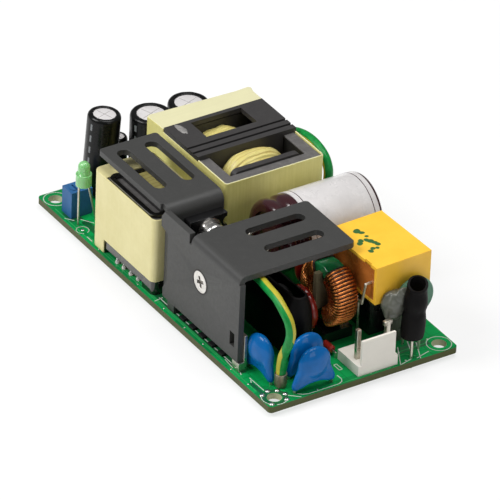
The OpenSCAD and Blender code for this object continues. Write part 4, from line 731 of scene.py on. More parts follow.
class SupplyStage(bpy.types.Operator):
    """Place the camera, the lamps and the pale floor"""
    bl_idname = "supply.stage"
    bl_label = "Camera, lamps and floor"

    def execute(self, context):
        self.camera(context)
        for lamp in LAMPS:
            self.lamp(context, *lamp)
        self.world(context)
        self.floor(context)
        context.scene.view_settings.view_transform = "Standard"
        return {"FINISHED"}

    def camera(self, context):
        """A long lens that looks down on the front right corner."""
        back = Vector((math.sin(CAMERA_TURN) * math.cos(CAMERA_RISE),
                       -math.cos(CAMERA_TURN) * math.cos(CAMERA_RISE), math.sin(CAMERA_RISE)))
        side = Vector((0, 0, 1)).cross(back).normalized()
        up = back.cross(side)
        c, s = math.cos(CAMERA_ROLL), math.sin(CAMERA_ROLL)
        turned = Matrix((c * side + s * up, c * up - s * side, back)).transposed()
        camera = bpy.data.objects.new("camera", bpy.data.cameras.new("camera"))
        camera.data.lens = CAMERA_LENS
        camera.data.sensor_width = 36.0
        camera.data.clip_start = 0.1
        camera.data.clip_end = 20.0
        camera.matrix_world = (Matrix.Translation((CAMERA_TARGET + back * CAMERA_DISTANCE) * MM)
                               @ turned.to_4x4())
        context.scene.collection.objects.link(camera)
        context.scene.camera = camera

    def lamp(self, context, name, place, size, power):
        """A square soft lamp that looks at the object."""
        made = bpy.data.objects.new(name, bpy.data.lights.new(name, "AREA"))
        made.data.size = size
        made.data.energy = power
        made.location = place
        made.rotation_euler = (Vector((0, 0, 0.01)) - Vector(place)).to_track_quat("-Z", "Y").to_euler()
        context.scene.collection.objects.link(made)

    def world(self, context):
        """A white backdrop that lights the object at a lower level."""
        world = context.scene.world or bpy.data.worlds.new("studio")
        context.scene.world = world
        tree = new_tree(world)
        rays = add(tree, "LightPath").outputs
        seen = maths(tree, "ADD", rays["Is Camera Ray"], rays["Is Transmission Ray"])
        level = ranged(tree, maths(tree, "MINIMUM", seen, 1.0), 0.0, 1.0, WORLD_LEVEL, 1.0)
        sky = add(tree, "Background", {"Color": WHITE, "Strength": level})
        add(tree, "OutputWorld", {0: sky.outputs[0]})

    def floor(self, context):
        """A wide floor that keeps a soft share of the object's shadow and is clear from below."""
        bm = bmesh.new()
        bmesh.ops.create_grid(bm, x_segments=1, y_segments=1, size=4.0)
        bmesh.ops.translate(bm, vec=(0, 0, cad_bounds[0][2] - FLOOR_GAP * MM), verts=bm.verts)
        mesh = bpy.data.meshes.new("floor")
        bm.to_mesh(mesh)
        bm.free()
        floor = bpy.data.objects.new("floor", mesh)
        context.scene.collection.objects.link(floor)
        material = bpy.data.materials.new("pale floor")
        tree = new_tree(material)
        share = times(tree, add(tree, "LightPath").outputs["Is Camera Ray"], FLOOR_GLOW)
        paper = add(tree, "BsdfDiffuse", {"Color": (0.86, 0.86, 0.86, 1)})
        glow = add(tree, "Emission", {"Color": WHITE, "Strength": 1.0})
        mix = add(tree, "MixShader", {0: share, 1: paper.outputs[0], 2: glow.outputs[0]})
        below = add(tree, "NewGeometry").outputs["Backfacing"]
        clear = add(tree, "BsdfTransparent")
        both = add(tree, "MixShader", {0: below, 1: mix.outputs[0], 2: clear.outputs[0]})
        add(tree, "OutputMaterial", {"Surface": both.outputs[0]})
        mesh.materials.append(material)


# Earth wire

# The points of the wire's route, and the steps of the curve from each to the next.
EARTH_ROUTE = (
    (44.5, -18.6, 5.2), (44.5, -18.6, 6), (44.5, -18.6, 6.8), (45.2, -18.7, 10.2), (46.8, -18.5, 14),
    (47.6, -18.5, 17.4), (46.9, -18.7, 20.3), (44.6, -18.9, 22.4), (41.5, -18.7, 23.6),
    (37.5, -18.3, 23.7), (33, -17.6, 23.4), (28, -17, 22.6), (22, -16.2, 21.8), (16, -14.4, 20.6),
    (12, -11.2, 18.4), (9.2, -7.6, 14.6), (6.4, -5.6, 11), (4.2, -3.6, 8.6), (3, 0, 7.4),
    (2.6, 5, 7.2), (2.6, 10, 7.2), (2.6, 15, 7.2), (2.2, 19.4, 7.6), (0.4, 22.4, 8.8),
    (-1.8, 23.6, 11.2), (-2.4, 23.7, 14.6), (-2.3, 23.7, 18), (-2.4, 23.7, 20.6),
    (-3.8, 23.7, 22.9), (-6.6, 23.7, 24.2), (-10.4, 23.7, 24.6), (-15, 23.7, 23.7),
    (-19.5, 23.7, 21.5), (-24, 23.7, 17.4), (-28, 23.7, 12.4), (-30, 23.7, 9.2),
    (-30.6, 23.7, 6.8), (-30.6, 23.7, 6), (-30.6, 23.7, 5.2),
)
ROUTE_STEPS = 6

# The side that the stripe faces, by the number of the point on the route.
STRIPE_SIDES = (
    (0, (-0.62, -0.78, 0)), (3.2, (-0.55, -0.83, 0)), (3.9, (-0.83, 0.55, 0)), (4.6, (0.4, 0.92, 0)),
    (8, (0.1, 0.7, 0.7)), (22, (0.1, 0.5, 0.85)), (24, (-0.8, -0.5, 0.1)), (27, (-0.8, -0.5, -0.1)),
    (30, (0, -0.6, -0.8)), (33, (0.6, -0.6, -0.6)), (39, (0.6, -0.6, -0.6)),
)
WIRE_SIDES = 24

# The stripe's half width, in sides of the wire.
STRIPE_REACH = 5


def stripe_side(at):
    """The side of the wire that its stripe faces at a point of the route."""
    for (a, first), (b, second) in zip(STRIPE_SIDES, STRIPE_SIDES[1:]):
        if at <= b:
            return Vector(first).lerp(Vector(second), (at - a) / (b - a)).normalized()
    return Vector(STRIPE_SIDES[-1][1])


class SupplyEarthWire(bpy.types.Operator):
    """Lay the striped earth wire"""
    bl_idname = "supply.earth_wire"
    bl_label = "Earth wire"

    def execute(self, context):
        width = context.scene.supply_detail.earth_wire / MM
        path = smooth_path(EARTH_ROUTE, ROUTE_STEPS)
        rings = []
        for i, point in enumerate(path):
            along = (path[min(i + 1, len(path) - 1)] - path[max(i - 1, 0)]).normalized()
            lead = stripe_side(i / ROUTE_STEPS)
            lead = (lead - lead.project(along)).normalized()
            rings.append(ring_round(point, width / 2, lead, along.cross(lead), WIRE_SIDES))
        bm = bmesh.new()
        skin(bm, rings)
        made = put("earth_wire_striped", bm, "earth_green", ["earth_wire"], ("earth_green", "stripe"),
                   smooth=60)
        self.stripe(made, rings)
        softened("earth_terminals", 0.12, finish="terminal")
        return {"FINISHED"}

    def stripe(self, made, rings):
        """Gives the faces that lie near the first point of each ring the stripe's finish."""
        near = KDTree(len(rings) * WIRE_SIDES)
        for i, ring in enumerate(rings):
            for k, point in enumerate(ring):
                near.insert(point, i * WIRE_SIDES + k)
        near.balance()
        column = [near.find(v.co / MM)[1] % WIRE_SIDES for v in made.data.vertices]
        for face in made.data.polygons:
            inside = [min(column[v], WIRE_SIDES - column[v]) <= STRIPE_REACH for v in face.vertices]
            face.material_index = int(all(inside))


# Board

# White lines: the points of each.
PRINT_LINES = (
    ((48.5, -19.1), (50.4, -16.9)),
    ((47.2, -5.1), (48.8, -5), (49.7, -5.5), (50.2, -6.6), (50.2, -14.6), (49.8, -16), (48.9, -17)),
    ((38.3, -22.9), (44.1, -22.8)), ((29.2, -23.7), (32.9, -24)), ((0.25, -23.25), (31.3, -23.25)),
    ((0.95, -24.9), (0.6, -22.6)), ((43.2, -3.5), (45.6, -3.5), (45.6, -2.7), (43.2, -2.7), (43.2, -3.5)),
    ((44.3, 13.15), (50.6, 9.8), (49.8, 13.2)), ((43.4, 16.4), (48.6, 14.3)), ((44.7, 17.9), (50.5, 15.3)),
    ((50.1, 14.6), (49.1, 18.4)), ((-37.1, -21.7), (-34.3, -19.8)), ((-39.4, -24.7), (-37.5, -23.3)),
    ((35.5, -23.6), (36.3, -23.9)), ((39.3, -23.2), (40.1, -23.6)), ((-30, -24.3), (-27.8, -24.3)),
)

# White arcs: centre, radius, first and last angle.
PRINT_ARCS = (
    (47.63, -22.2, 3, 228, 307), (47.63, -22.2, 3, -20, 35), (47.63, 22.2, 2.9, 0, 360),
    (-33, -23.7, 1.5, 20, 340), (-47.63, -22.2, 2.9, 0, 360), (-47.63, 22.2, 2.9, 0, 360),
)

# Darker areas of copper under the mask (left, right, front and back), vias and tracks.
POURS = (
    (-2, 36, -23.85, -22.2), (-41.5, -37, -24.3, -21), (-36.2, -28.6, -22.2, -20.4),
    (40, 46.5, -24.2, -23.3), (44.6, 46.8, 11.5, 20.5), (48.2, 50.4, 2, 8),
)
VIAS = (
    (46.2, 12.2), (44.8, 20.9), (49.6, 11.8), (49.9, 2.1), (43.9, -14.2), (49.6, -12), (-44, -15.2),
    (-42.2, -23), (40.2, -24.4), (33.2, -24.6), (-24.1, -24.6), (-7, -24.5), (45.4, 3.2), (-44.6, -19),
    (4.5, -24.6), (13.6, -24.7), (21.4, -24.6),
)
TRACKS = (
    ((-44, -24.5), (43.6, -24.5)), ((-30, -23.95), (-3, -23.95), (-2, -24.1), (28, -24.1)),
    ((46, 10.5), (46, 19.5), (44.5, 21)), ((47.4, 10.8), (47.4, 13), (49.4, 15), (49.4, 19)),
    ((50.3, -14), (50.3, 8)), ((-49.6, -18), (-49.6, 18)),
)

# Each flat layer's top over the board. All start a little over it, so that no two faces meet.
PRINT_TOP = DECK + 0.03
TRACK_TOP = DECK + 0.02
PAD_TOP = DECK + 0.014
POUR_TOP = DECK + 0.012
LAYER_FOOT = DECK + 0.002
TRACK_WIDTH = 0.28
ARC_STEP = 12

# The earth pad: the hole's number, its dark ring, and the circle of solder drops on it.
PAD_HOLE = 2
PAD_RING = (1.95, 3.12)
PAD_REACH = 2.85
PAD_ANGLES = (45, 90, 135, 180, 225, 315)

# Solder: drops on the earth pad, one dot, vias, and pegs round the heatsink's leads.
DOT_PLACE = (-33, -23.7)
PEGS = ((-17, -23.9), (-11.2, -23.8), (-8.5, -23.5), (-14.2, -23.85))
PAD_DROP = [(0.62, 0), (0.55, 0.14), (0.34, 0.26), (0, 0.3)]
DOT = [(0.45, 0), (0.4, 0.1), (0, 0.16)]
VIA = [(0.26, 0), (0.22, 0.05), (0, 0.08)]
PEG = [(0.7, 0), (0.6, 0.5), (0.4, 0.9), (0.3, 1.3), (0, 1.4)]


class SupplyBoard(bpy.types.Operator):
    """Print the board and finish its chips"""
    bl_idname = "supply.board"
    bl_label = "Board print, pads and chips"

    def execute(self, context):
        softened("surface_chips", 0.08)
        width = context.scene.supply_detail.print_width / MM
        bm = bmesh.new()
        for points in PRINT_LINES:
            self.line(bm, points, width, PRINT_TOP)
        for x, y, r, first, last in PRINT_ARCS:
            steps = max(4, int(abs(last - first) / ARC_STEP))
            angles = [math.radians(first + (last - first) * i / steps) for i in range(steps + 1)]
            self.line(bm, [(x + r * math.cos(a), y + r * math.sin(a)) for a in angles], width, PRINT_TOP)
        put("board_print", bm, "board", finish="print", weld=False)
        bm = bmesh.new()
        for points in TRACKS:
            self.line(bm, points, TRACK_WIDTH, TRACK_TOP)
        put("board_tracks", bm, "board", finish="track", weld=False)
        bm = bmesh.new()
        x, y = HOLES[PAD_HOLE]
        lathe(bm, washer(*PAD_RING, LAYER_FOOT, PAD_TOP), at=(x, y, 0))
        for left, right, front, back in POURS:
            box_mesh(bm, (left, right), (front, back), (LAYER_FOOT, POUR_TOP))
        put("board_pours", bm, "board", finish="deep_mask")
        around = [(x + PAD_REACH * math.cos(a), y + PAD_REACH * math.sin(a))
                  for a in map(math.radians, PAD_ANGLES)]
        bm = bmesh.new()
        for profile, steps, places in ((PAD_DROP, 20, around), (DOT, 20, [DOT_PLACE]),
                                       (VIA, 14, VIAS), (PEG, 20, PEGS)):
            for px, py in places:
                lathe(bm, profile, steps, (px, py, DECK))
        put("pad_dots", bm, "solder", smooth=60)
        return {"FINISHED"}

    def line(self, bm, points, width, top):
        """A flat line on the board through some points, its pieces overlapping at the corners."""
        for a, b in zip(points, points[1:]):
            a, b = Vector(a), Vector(b)
            middle, reach = (a + b) / 2, (b - a).length / 2 + width * 0.3
            box_mesh(bm, (middle.x - reach, middle.x + reach), (middle.y - width / 2, middle.y + width / 2),
                     (LAYER_FOOT, top),
                     turn=Matrix.Rotation(math.atan2(b.y - a.y, b.x - a.x), 4, "Z"))


# Heatsinks and what they carry

# The left front lug is the only one left of this X and in front of this Y. It is painted black as painted
# shade.
SHADED_LUG = (10, -22)


class SupplyHeatsinks(bpy.types.Operator):
    """Round the heatsinks' edges, and paint the left front lug black as painted shade"""
    bl_idname = "supply.heatsinks"
    bl_label = "Heatsinks and lugs"

    def execute(self, context):
        edge = context.scene.supply_detail.sheet_edge / MM
        for node in ("front_heatsink", "rear_heatsink"):
            softened(node, edge)
        lugs = copy_of("heatsink_lugs")
        # The left front lug's faces take the black sheet's finish: painted shade.
        for face in lugs.faces:
            middle = face.calc_center_median()
            face.material_index = int(middle.x < SHADED_LUG[0] and middle.y < SHADED_LUG[1])
        round_edges(put("heatsink_lugs_rounded", lugs, "tinned", ["heatsink_lugs"],
                        ("tinned", "black_sheet")), 0.1)
        return {"FINISHED"}


class SupplySemiconductors(bpy.types.Operator):
    """Finish the bridge rectifier, the transistor and their screws"""
    bl_idname = "supply.semiconductors"
    bl_label = "Semiconductors and screws"

    def execute(self, context):
        edge = context.scene.supply_detail.moulded_edge / MM
        for node in ("bridge_rectifier", "power_transistor"):
            softened(node, edge)
        for node in ("bridge_screw", "bridge_nut", "transistor_screw", "screw_washers"):
            softened(node, 0.08)
        low, high = span("bridge_screw")
        r = (high.x - low.x) / 2
        place = Matrix.Translation(((low.x + high.x) / 2, low.y, (low.z + high.z) / 2))
        put("bridge_screw_shade", spun(washer(r - 0.12, r + 0.3, 0.02, 0.05)), "black_sheet", finish="recess",
            place=place @ Matrix.Rotation(math.radians(90), 4, "X"))
        return {"FINISHED"}


# Taped boxes

class SupplyChoke(bpy.types.Operator):
    """Tape the boost choke"""
    bl_idname = "supply.choke"
    bl_label = "Boost choke"

    def execute(self, context):
        edge = context.scene.supply_detail.tape_edge / MM
        softened("choke_tape", edge, finish="choke_tape")
        softened("choke_bobbin", 0.3, finish="choke_bobbin")
        softened("choke_core", 0.2)
        return {"FINISHED"}


# Grey glue on the transformer's cover.
GLUE_CENTRE = (-25.9, -1.95, 26.5)

# Where the tape's layers end, as shares of the winding's length, and how steeply.
LEDGES = (0.03, 0.12, 0.22, 0.36)
LEDGE_SLOPE = 160

# What shapes a wrapped winding: how square it is, and the shares of its size that lie under the
# layers and in them.
WRAP_SQUARENESS = 2.7
WRAP_CORE = 0.84
WRAP_LAYERS = 0.16


class SupplyTransformer(bpy.types.Operator):
    """Tape the transformer and wrap its windings"""
    bl_idname = "supply.transformer"
    bl_label = "Main transformer"

    def execute(self, context):
        softened("transformer_tape", context.scene.supply_detail.tape_edge / MM)
        softened("transformer_core", 0.3, finish="core")
        softened("transformer_bobbin", 0.2, finish="cover")
        glue = bmesh.new()
        blob(glue, GLUE_CENTRE, lambda x, y, z: (x * 2.3, y * 0.9 + x * 0.2, z * 0.22),
             lambda p: 1 + 0.25 * ripple(p, 0.5, 3.0))
        put("cover_glue", glue, "silicone", finish="glue", smooth=60)
        for node, seed in (("primary_winding", 3.0), ("secondary_winding", 8.0)):
            self.wrap(node, seed)
        return {"FINISHED"}

    def wrap(self, node, seed):
        """Tape folded over a winding: its layers end in wavy ledges and its skin creases."""
        low, high = span(node)
        middle = (low + high) / 2
        half = (high - low) / 2
        steps, sides = 64, 96
        rings = []
        for i in range(steps + 1):
            u = i / steps
            x = low.x + u * (high.x - low.x)
            ring = []
            for a in turns(sides):
                ca, sa = math.cos(a), math.sin(a)
                wave = 0.09 * ripple((ca * 5, sa * 5, 0), 2.6, seed)
                edge = min(u, 1.02 - u) + wave
                layers = sum(1 / (1 + math.exp(-(edge - at) * LEDGE_SLOPE)) for at in LEDGES) / len(LEDGES)
                crease = 0.03 * abs(ripple((x * 2.4, ca * 3, sa * 3), 1.6, seed + 2))
                scale = squared(ca, sa, WRAP_SQUARENESS) * (WRAP_CORE + WRAP_LAYERS * layers - crease)
                ring.append(Vector((x, middle.y + ca * half.y * scale, middle.z + sa * half.z * scale)))
            rings.append(ring)
        bm = bmesh.new()
        skin(bm, rings)
        put(node + "_wrapped", bm, SLOT_OF[node], [node], smooth=50)


# Capacitors

# The front output capacitor leans: its foot and turn, its radius and its height.
LEANING_CAN = (
    Matrix.Translation((-45.5, -12.1, 2.5)) @ (
        Matrix.Rotation(math.radians(1.5), 4, "Y") @ Matrix.Rotation(math.radians(-3), 4, "X")),
    4.0, 20.9,
)

# The bare top's share of a can's radius, the turn of its scored cross, and the printed dashes:
# where they stand round the can, how many, and the radius of a can that is too small for them.
RIM_SHARE = 0.69
SCORE_ANGLE = 0.35
DASH_ANGLE = -1.35
DASH_COUNT = 5
SMALLEST_DASHED = 3


class SupplyElectrolytics(bpy.types.Operator):
    """Sleeve the electrolytic capacitors"""
    bl_idname = "supply.electrolytics"
    bl_label = "Electrolytic capacitors"

    def execute(self, context):
        self.upright_can("output_capacitor_back")
        self.upright_can("output_capacitor_middle")
        self.can("output_capacitor_front", *LEANING_CAN)
        self.upright_can("supply_capacitor")
        self.bulk()
        return {"FINISHED"}

    def upright_can(self, node):
        """A can of the CAD node's own size and place."""
        low, high = span(node)
        foot = Matrix.Translation(((low.x + high.x) / 2, (low.y + high.y) / 2, low.z))
        self.can(node, foot, (high.x - low.x) / 2, high.z - low.z)

    def can(self, node, place, r, h):
        """A sleeved can with a wrinkled shoulder and a scored top."""
        rim = r * RIM_SHARE
        slot = SLOT_OF[node]
        bm = spun([(0, 0.3), (r - 0.9, 0.25), (r - 0.7, 0), (r - 0.3, 0.1), (r, 0.5), (r, 1.3),
                   (r - 0.35, 1.7), (r - 0.5, 2.2), (r - 0.35, 2.7), (r, 3.1), (r, h * 0.5), (r, h - 1.0),
                   (r - 0.1, h - 0.5), (r - 0.35, h - 0.15), (r - 0.7, h), (rim + 0.15, h),
                   (rim, h - 0.1), (rim, h - 0.45), (rim - 0.3, h - 0.6), (0, h - 0.6)], steps=72)
        for v in bm.verts:
            if v.co.z > h - 1.2 and math.hypot(v.co.x, v.co.y) > rim - 0.05:
                a = math.atan2(v.co.y, v.co.x)
                v.co.z -= 0.07 * (0.5 + 0.5 * ripple((6 * math.cos(a), 6 * math.sin(a), h), 1.2, r))
        put(node + "_sleeved", bm, slot, [node], smooth=50, place=place)
        top = spun([(0, h - 0.28), (rim - 0.25, h - 0.28), (rim - 0.02, h - 0.36),
                    (rim - 0.02, h - 0.5), (0, h - 0.5)])
        put(node + "_top", top, slot, finish="can_top", place=place)
        bm = bmesh.new()
        for angle in (SCORE_ANGLE, SCORE_ANGLE + FULL_TURN / 4):
            box_mesh(bm, (-rim + 0.5, rim - 0.5), (-0.05, 0.05), (h - 0.29, h - 0.265),
                     turn=Matrix.Rotation(angle, 4, "Z"))
        put(node + "_scores", bm, slot, finish="score", place=place)
        if r > SMALLEST_DASHED:
            put(node + "_dashes", self.dashes(r, h), slot, finish="sleeve_print", weld=False, place=place)

    def dashes(self, r, h):
        """A column of short pale marks on a round sleeve."""
        bm = bmesh.new()
        for i in range(DASH_COUNT):
            z = h * (0.3 + 0.58 * i / (DASH_COUNT - 1))
            for v in bmesh.ops.create_grid(bm, x_segments=4, y_segments=1, size=0.5)["verts"]:
                a = DASH_ANGLE + v.co.x * 0.14
                v.co = Vector(((r + 0.02) * math.cos(a), (r + 0.02) * math.sin(a), z + v.co.y * 1.7))
        return bm

    def bulk(self):
        """The bulk capacitor on its side: a grooved lead end and a pale sleeve."""
        low, high = span("bulk_capacitor")
        r, reach = (high.x - low.x) / 2, high.y - low.y
        place = Matrix.Translation(((low.x + high.x) / 2, low.y, (low.z + high.z) / 2)) @ (
            Matrix.Rotation(math.radians(-90), 4, "X"))
        can = spun([(0, 0.8), (r - 2.6, 0.8), (r - 2.6, 0.1), (r - 1.6, 0), (r - 0.8, 0.15),
                    (r - 0.25, 0.6), (r, 1.3), (r, 2.4), (r - 0.3, 2.8), (r - 0.75, 3.2), (r - 0.85, 3.6),
                    (r - 0.75, 4.0), (r - 0.3, 4.4), (r, 4.8), (r, 6.3), (r, reach - 0.6),
                    (r - 0.2, reach - 0.15), (r - 0.6, reach), (r - 1.0, reach), (r - 1.1, reach - 0.5),
                    (0, reach - 0.5)], steps=96)
        put("bulk_capacitor_sleeved", can, "bulk_sleeve", ["bulk_capacitor"], smooth=50, place=place)
        sleeve_low, sleeve_high = span("bulk_label")
        start, end = sleeve_low.y - low.y, sleeve_high.y - low.y
        outer = (sleeve_high.x - sleeve_low.x) / 2
        sleeve = spun([(r - 0.02, start), (outer, start), (outer, end - 0.3), (outer - 0.12, end),
                       (r - 0.02, end)], steps=96)
        put("bulk_label_sleeve", sleeve, "white_label", ["bulk_label"], smooth=50, place=place)
        rules = [[(outer, at), (outer + 0.03, at + 0.05), (outer + 0.03, at + 0.17), (outer, at + 0.22)]
                 for at in (end - 1.5, start + 1.2)]
        put("bulk_label_rules", spun(*rules, steps=96), "bulk_sleeve", smooth=50, place=place)


# Mains filter

# The arc of the ring that each winding covers, and the thickness of the ring.
WINDING_ARC = math.radians(138)
RING_WALL = 3.0


class SupplyFilterChoke(bpy.types.Operator):
    """Wind the filter choke turn by turn"""
    bl_idname = "supply.filter_choke"
    bl_label = "Filter choke"

    def execute(self, context):
        detail = context.scene.supply_detail
        width = detail.copper_wire / MM
        step = WINDING_ARC / detail.turns
        for start, node in ((0, "filter_winding_right"), (math.pi, "filter_winding_left")):
            # The first layer is painted dark brown: painted shade in the gaps between the top layer's turns.
            for layer, name in enumerate(("_bed", "_turns")):
                bm = bmesh.new()
                for i in range(detail.turns - layer):
                    a = start + WINDING_ARC * ((i + 0.5 + layer / 2) / detail.turns - 0.5)
                    self.turn(bm, a, -1 if start else 1, width, step, i, layer)
                put(node + name, bm, "copper", [node] if layer else (),
                    "copper" if layer else "copper_bed", smooth=60, weld=False)
        softened("filter_divider", 0.1)
        softened("filter_base", 0.25)
        return {"FINISHED"}

    def turn(self, bm, a, side, width, step, index, layer):
        """One turn round the ring's section, wound on a slant to the next."""
        low, high = span("filter_core")
        outer = (high.x - low.x) / 2
        sag = 0.35 * max(0, -math.sin(a)) + 0.06 * ripple((index, a, 0), 1.3, 3.0)
        r_out = outer + 0.1 + width * 0.5 + layer * (0.3 + sag)
        r_in = outer - RING_WALL - width * (0.5 + 0.6 * layer)
        half = (high.y - low.y) / 2 + width * 0.5 + 0.25 * layer
        path = []
        for t in turns(32):
            c, s = math.cos(t), math.sin(t)
            corner = squared(c, s, 4)
            r = (r_out + r_in) / 2 + (r_out - r_in) / 2 * c * corner
            slant = a + side * step * 0.3 * math.sin(t + 0.6)
            path.append((low + high) / 2 + Vector((
                r * math.cos(slant), half * s * corner, r * math.sin(slant))))
        closed_wire(bm, path, width, 8)


# The interference capacitor's box: its near left corner, size, turn and wall.
BOX_CORNER = (23.2, 6.6)
BOX_SIZE = (19.6, 15.2, 9.8)
BOX_TURN = math.radians(2)
BOX_WALL = 0.75

# The adhesive: the middles of its two lumps and of the peg under them, and the peg's height.
LUMP_CENTRE = (43.9, 12, 13.6)
SMALL_LUMP_CENTRE = (45, 13, 15.2)
PEG_CENTRE = (39.9, 15.4, 7.8)
PEG_HEIGHT = 12.4


class SupplyFilmCapacitor(bpy.types.Operator):
    """Round the interference capacitor, its adhesive and the fuse"""
    bl_idname = "supply.film_capacitor"
    bl_label = "Interference capacitor and fuse"

    def execute(self, context):
        softened("x_capacitor", 0.45)
        softened("fuse_body", 0.35)
        bead = bmesh.new()
        blob(bead, LUMP_CENTRE, lambda x, y, z: (x * 2.6, y * 3.5, z * 3.9),
             lambda p: 1 + 0.16 * ripple(p, 0.6, 2.0) + 0.06 * ripple(p, 0.22, 5.0))
        blob(bead, SMALL_LUMP_CENTRE, lambda x, y, z: (x * 1.5, y * 2.3, z * 2.9),
             lambda p: 1 + 0.12 * ripple(p, 0.6, 9.0))
        peg = bmesh.ops.create_cone(bead, cap_ends=True, segments=40, radius1=2.2, radius2=2.6,
                                    depth=PEG_HEIGHT)
        bmesh.ops.translate(bead, vec=PEG_CENTRE, verts=peg["verts"])
        put("silicone_lump", bead, "silicone", ["silicone_bead"], smooth=60)
        self.resin()
        return {"FINISHED"}

    def resin(self):
        """The resin that fills the box's mouth, a little below its rim."""
        turn = Matrix.Rotation(BOX_TURN, 3, "Z")
        corner = Vector((*BOX_CORNER, span("x_capacitor")[0].z))
        bm = bmesh.new()
        bmesh.ops.create_grid(bm, x_segments=40, y_segments=24, size=0.5)
        for v in bm.verts:
            x = BOX_WALL + (v.co.x + 0.5) * (BOX_SIZE[0] - 2 * BOX_WALL)
            z = BOX_WALL + (v.co.y + 0.5) * (BOX_SIZE[2] - 2 * BOX_WALL)
            rise = min(1, min(v.co.x + 0.5, 0.5 - v.co.x) * 8, min(v.co.y + 0.5, 0.5 - v.co.y) * 5)
            y = 0.12 + 0.22 * rise + 0.1 * ripple((x, 0, z), 3.0, 6.0)
            v.co = corner + turn @ Vector((x, y, z))
        put("x_capacitor_resin", bm, "box_yellow", finish="resin")


# The dipped coat: the grain of its skin, and how far and how often it is smoothed.
DIP_GRAIN = 0.22
DIP_FLOW = 0.7
DIP_STEPS = 30


class SupplyDiscs(bpy.types.Operator):
    """Dip the blue, red and green disc parts"""
    bl_idname = "supply.discs"
    bl_label = "Disc parts"

    def execute(self, context):
        for node in ("y_capacitor_front", "y_capacitor_middle", "y_capacitor_right"):
            made = put(node + "_dipped", copy_of(node), SLOT_OF[node], [node])
            again = made.modifiers.new("One skin", "REMESH")
            again.mode = "VOXEL"
            again.voxel_size = DIP_GRAIN * MM
            again.use_smooth_shade = True
            soft = made.modifiers.new("Flow", "SMOOTH")
            soft.factor = DIP_FLOW
            soft.iterations = DIP_STEPS
        for node in ("varistors", "surge_disc", "inrush_thermistor"):
            put(node + "_dipped", copy_of(node), SLOT_OF[node], [node], smooth=60)
        return {"FINISHED"}


# The oval sleeve's sections: share of its height, and how far they step in along X and Y.
PILLOW_LEVELS = (
    (0.0, 0.3, 0.5), (0.1, 0.2, 0.28), (0.22, 0.1, 0.1), (0.35, 0.04, 0.03), (0.49, 0, 0), (0.62, 0.08, 0.1),
    (0.75, 0.3, 0.5), (0.87, 0.6, 1.1), (0.95, 0.9, 1.65), (0.985, 0.95, 1.75), (1.0, 1.1, 1.9),
)
PILLOW_REACH = 4
PILLOW_WALL = 0.5

# The round sleeve's sections: height, X, Y and radius.
TUBE_STATIONS = (
    (6.8, 48.4, 14.6, 2.65), (8.4, 48.3, 14.8, 2.8), (10.5, 48.2, 15.0, 2.8), (12.2, 48.1, 15.1, 2.7),
    (13.4, 48.1, 15.2, 2.5), (14.6, 48.05, 15.3, 2.72), (16.2, 48.0, 15.4, 2.72), (17.8, 48.0, 15.5, 2.45),
    (19.0, 48.0, 15.6, 2.35), (19.7, 48.0, 15.65, 2.42), (20.1, 48.0, 15.7, 2.38),
)
TUBE_WALL = 0.55

# Where the round sleeve is creased and how far up and down, where its mouth starts to tilt, over
# what height and how steeply, and how far the whole sleeve is shifted left and to the front.
CREASE_HEIGHT = 13.4
CREASE_REACH = 1.6
MOUTH_START = 16
MOUTH_HEIGHT = 4.1
MOUTH_TILT = 0.34
TUBE_SHIFT = (0.25, 0.4)


class SupplySleeves(bpy.types.Operator):
    """Shrink the thermistor's and the resistor's sleeves"""
    bl_idname = "supply.sleeves"
    bl_label = "Shrunk sleeves"

    def execute(self, context):
        self.pillow()
        self.tube()
        softened("bleed_resistor", 0.1)
        return {"FINISHED"}

    def pillow(self):
        """An oval sleeve, open at the top, that reaches on under the heatsink."""
        low, high = span("thermistor_sleeve")
        low.x -= PILLOW_REACH
        rings = []
        for wall, order in ((0.0, PILLOW_LEVELS), (PILLOW_WALL, PILLOW_LEVELS[::-1])):
            for share, inset_x, inset_y in order:
                rings.append(self.oval(low, high, share, inset_x + wall, inset_y + wall))
        bm = bmesh.new()
        skin(bm, rings, closed=True)
        put("thermistor_sleeve_shrunk", bm, "sleeve", ["thermistor_sleeve"], smooth=60)

    def oval(self, low, high, share, inset_x, inset_y):
        """One oval section of the sleeve."""
        middle = (low + high) / 2
        half_x, half_y = (high.x - low.x) / 2 - inset_x, (high.y - low.y) / 2 - inset_y
        z = low.z + share * (high.z - low.z)
        ring = []
        for a in turns(72):
            c, s = math.cos(a), math.sin(a)
            x = half_y * c + math.copysign(half_x - half_y, c) * min(1, abs(c) * 4)
            crush = 0.2 * ripple((x, half_y * s, z), 2.8, 4.0) * (1 - share)
            drop = 3 * max(0, share - 0.8) * (0.5 - 0.5 * x / half_x)
            ring.append(Vector((middle.x + x, middle.y + half_y * s + crush, z - drop)))
        return ring

    def tube(self):
        """A round sleeve, creased near half its height, with a tilted mouth."""
        centres = smooth_path([(x, y, z) for z, x, y, r in TUBE_STATIONS], 3)
        sizes = smooth_path([(r, 0, 0) for z, x, y, r in TUBE_STATIONS], 3)
        outside = list(zip(centres, sizes))
        rings = []
        for wall, order in ((0.0, outside), (TUBE_WALL, outside[::-1])):
            for p, size in order:
                crease = math.exp(-((p.z - CREASE_HEIGHT) / CREASE_REACH) ** 2)
                ring = []
                for a in turns(60):
                    out = Vector((math.cos(a), math.sin(a), 0))
                    crush = ripple((out.x * 2.2, out.y * 2.2, p.z * 0.5), 1.1, 7.0)
                    r = (size.x - wall) * (1 + crease * 0.13 * crush - 0.02 * max(0, crush))
                    lean = max(0, (p.z - MOUTH_START) / MOUTH_HEIGHT) * MOUTH_TILT * (r + wall)
                    drop = lean * (0.83 * out.x - 0.555 * out.y)
                    ring.append(p + r * out - Vector((*TUBE_SHIFT, drop)))
                rings.append(ring)
        bm = bmesh.new()
        skin(bm, rings, closed=True)
        put("resistor_sleeve_shrunk", bm, "sleeve", ["resistor_sleeve"], smooth=60)


# The place of the inlet's far pin, whose head is wider than the pin.
FAR_PIN = (46.7, 8.3)


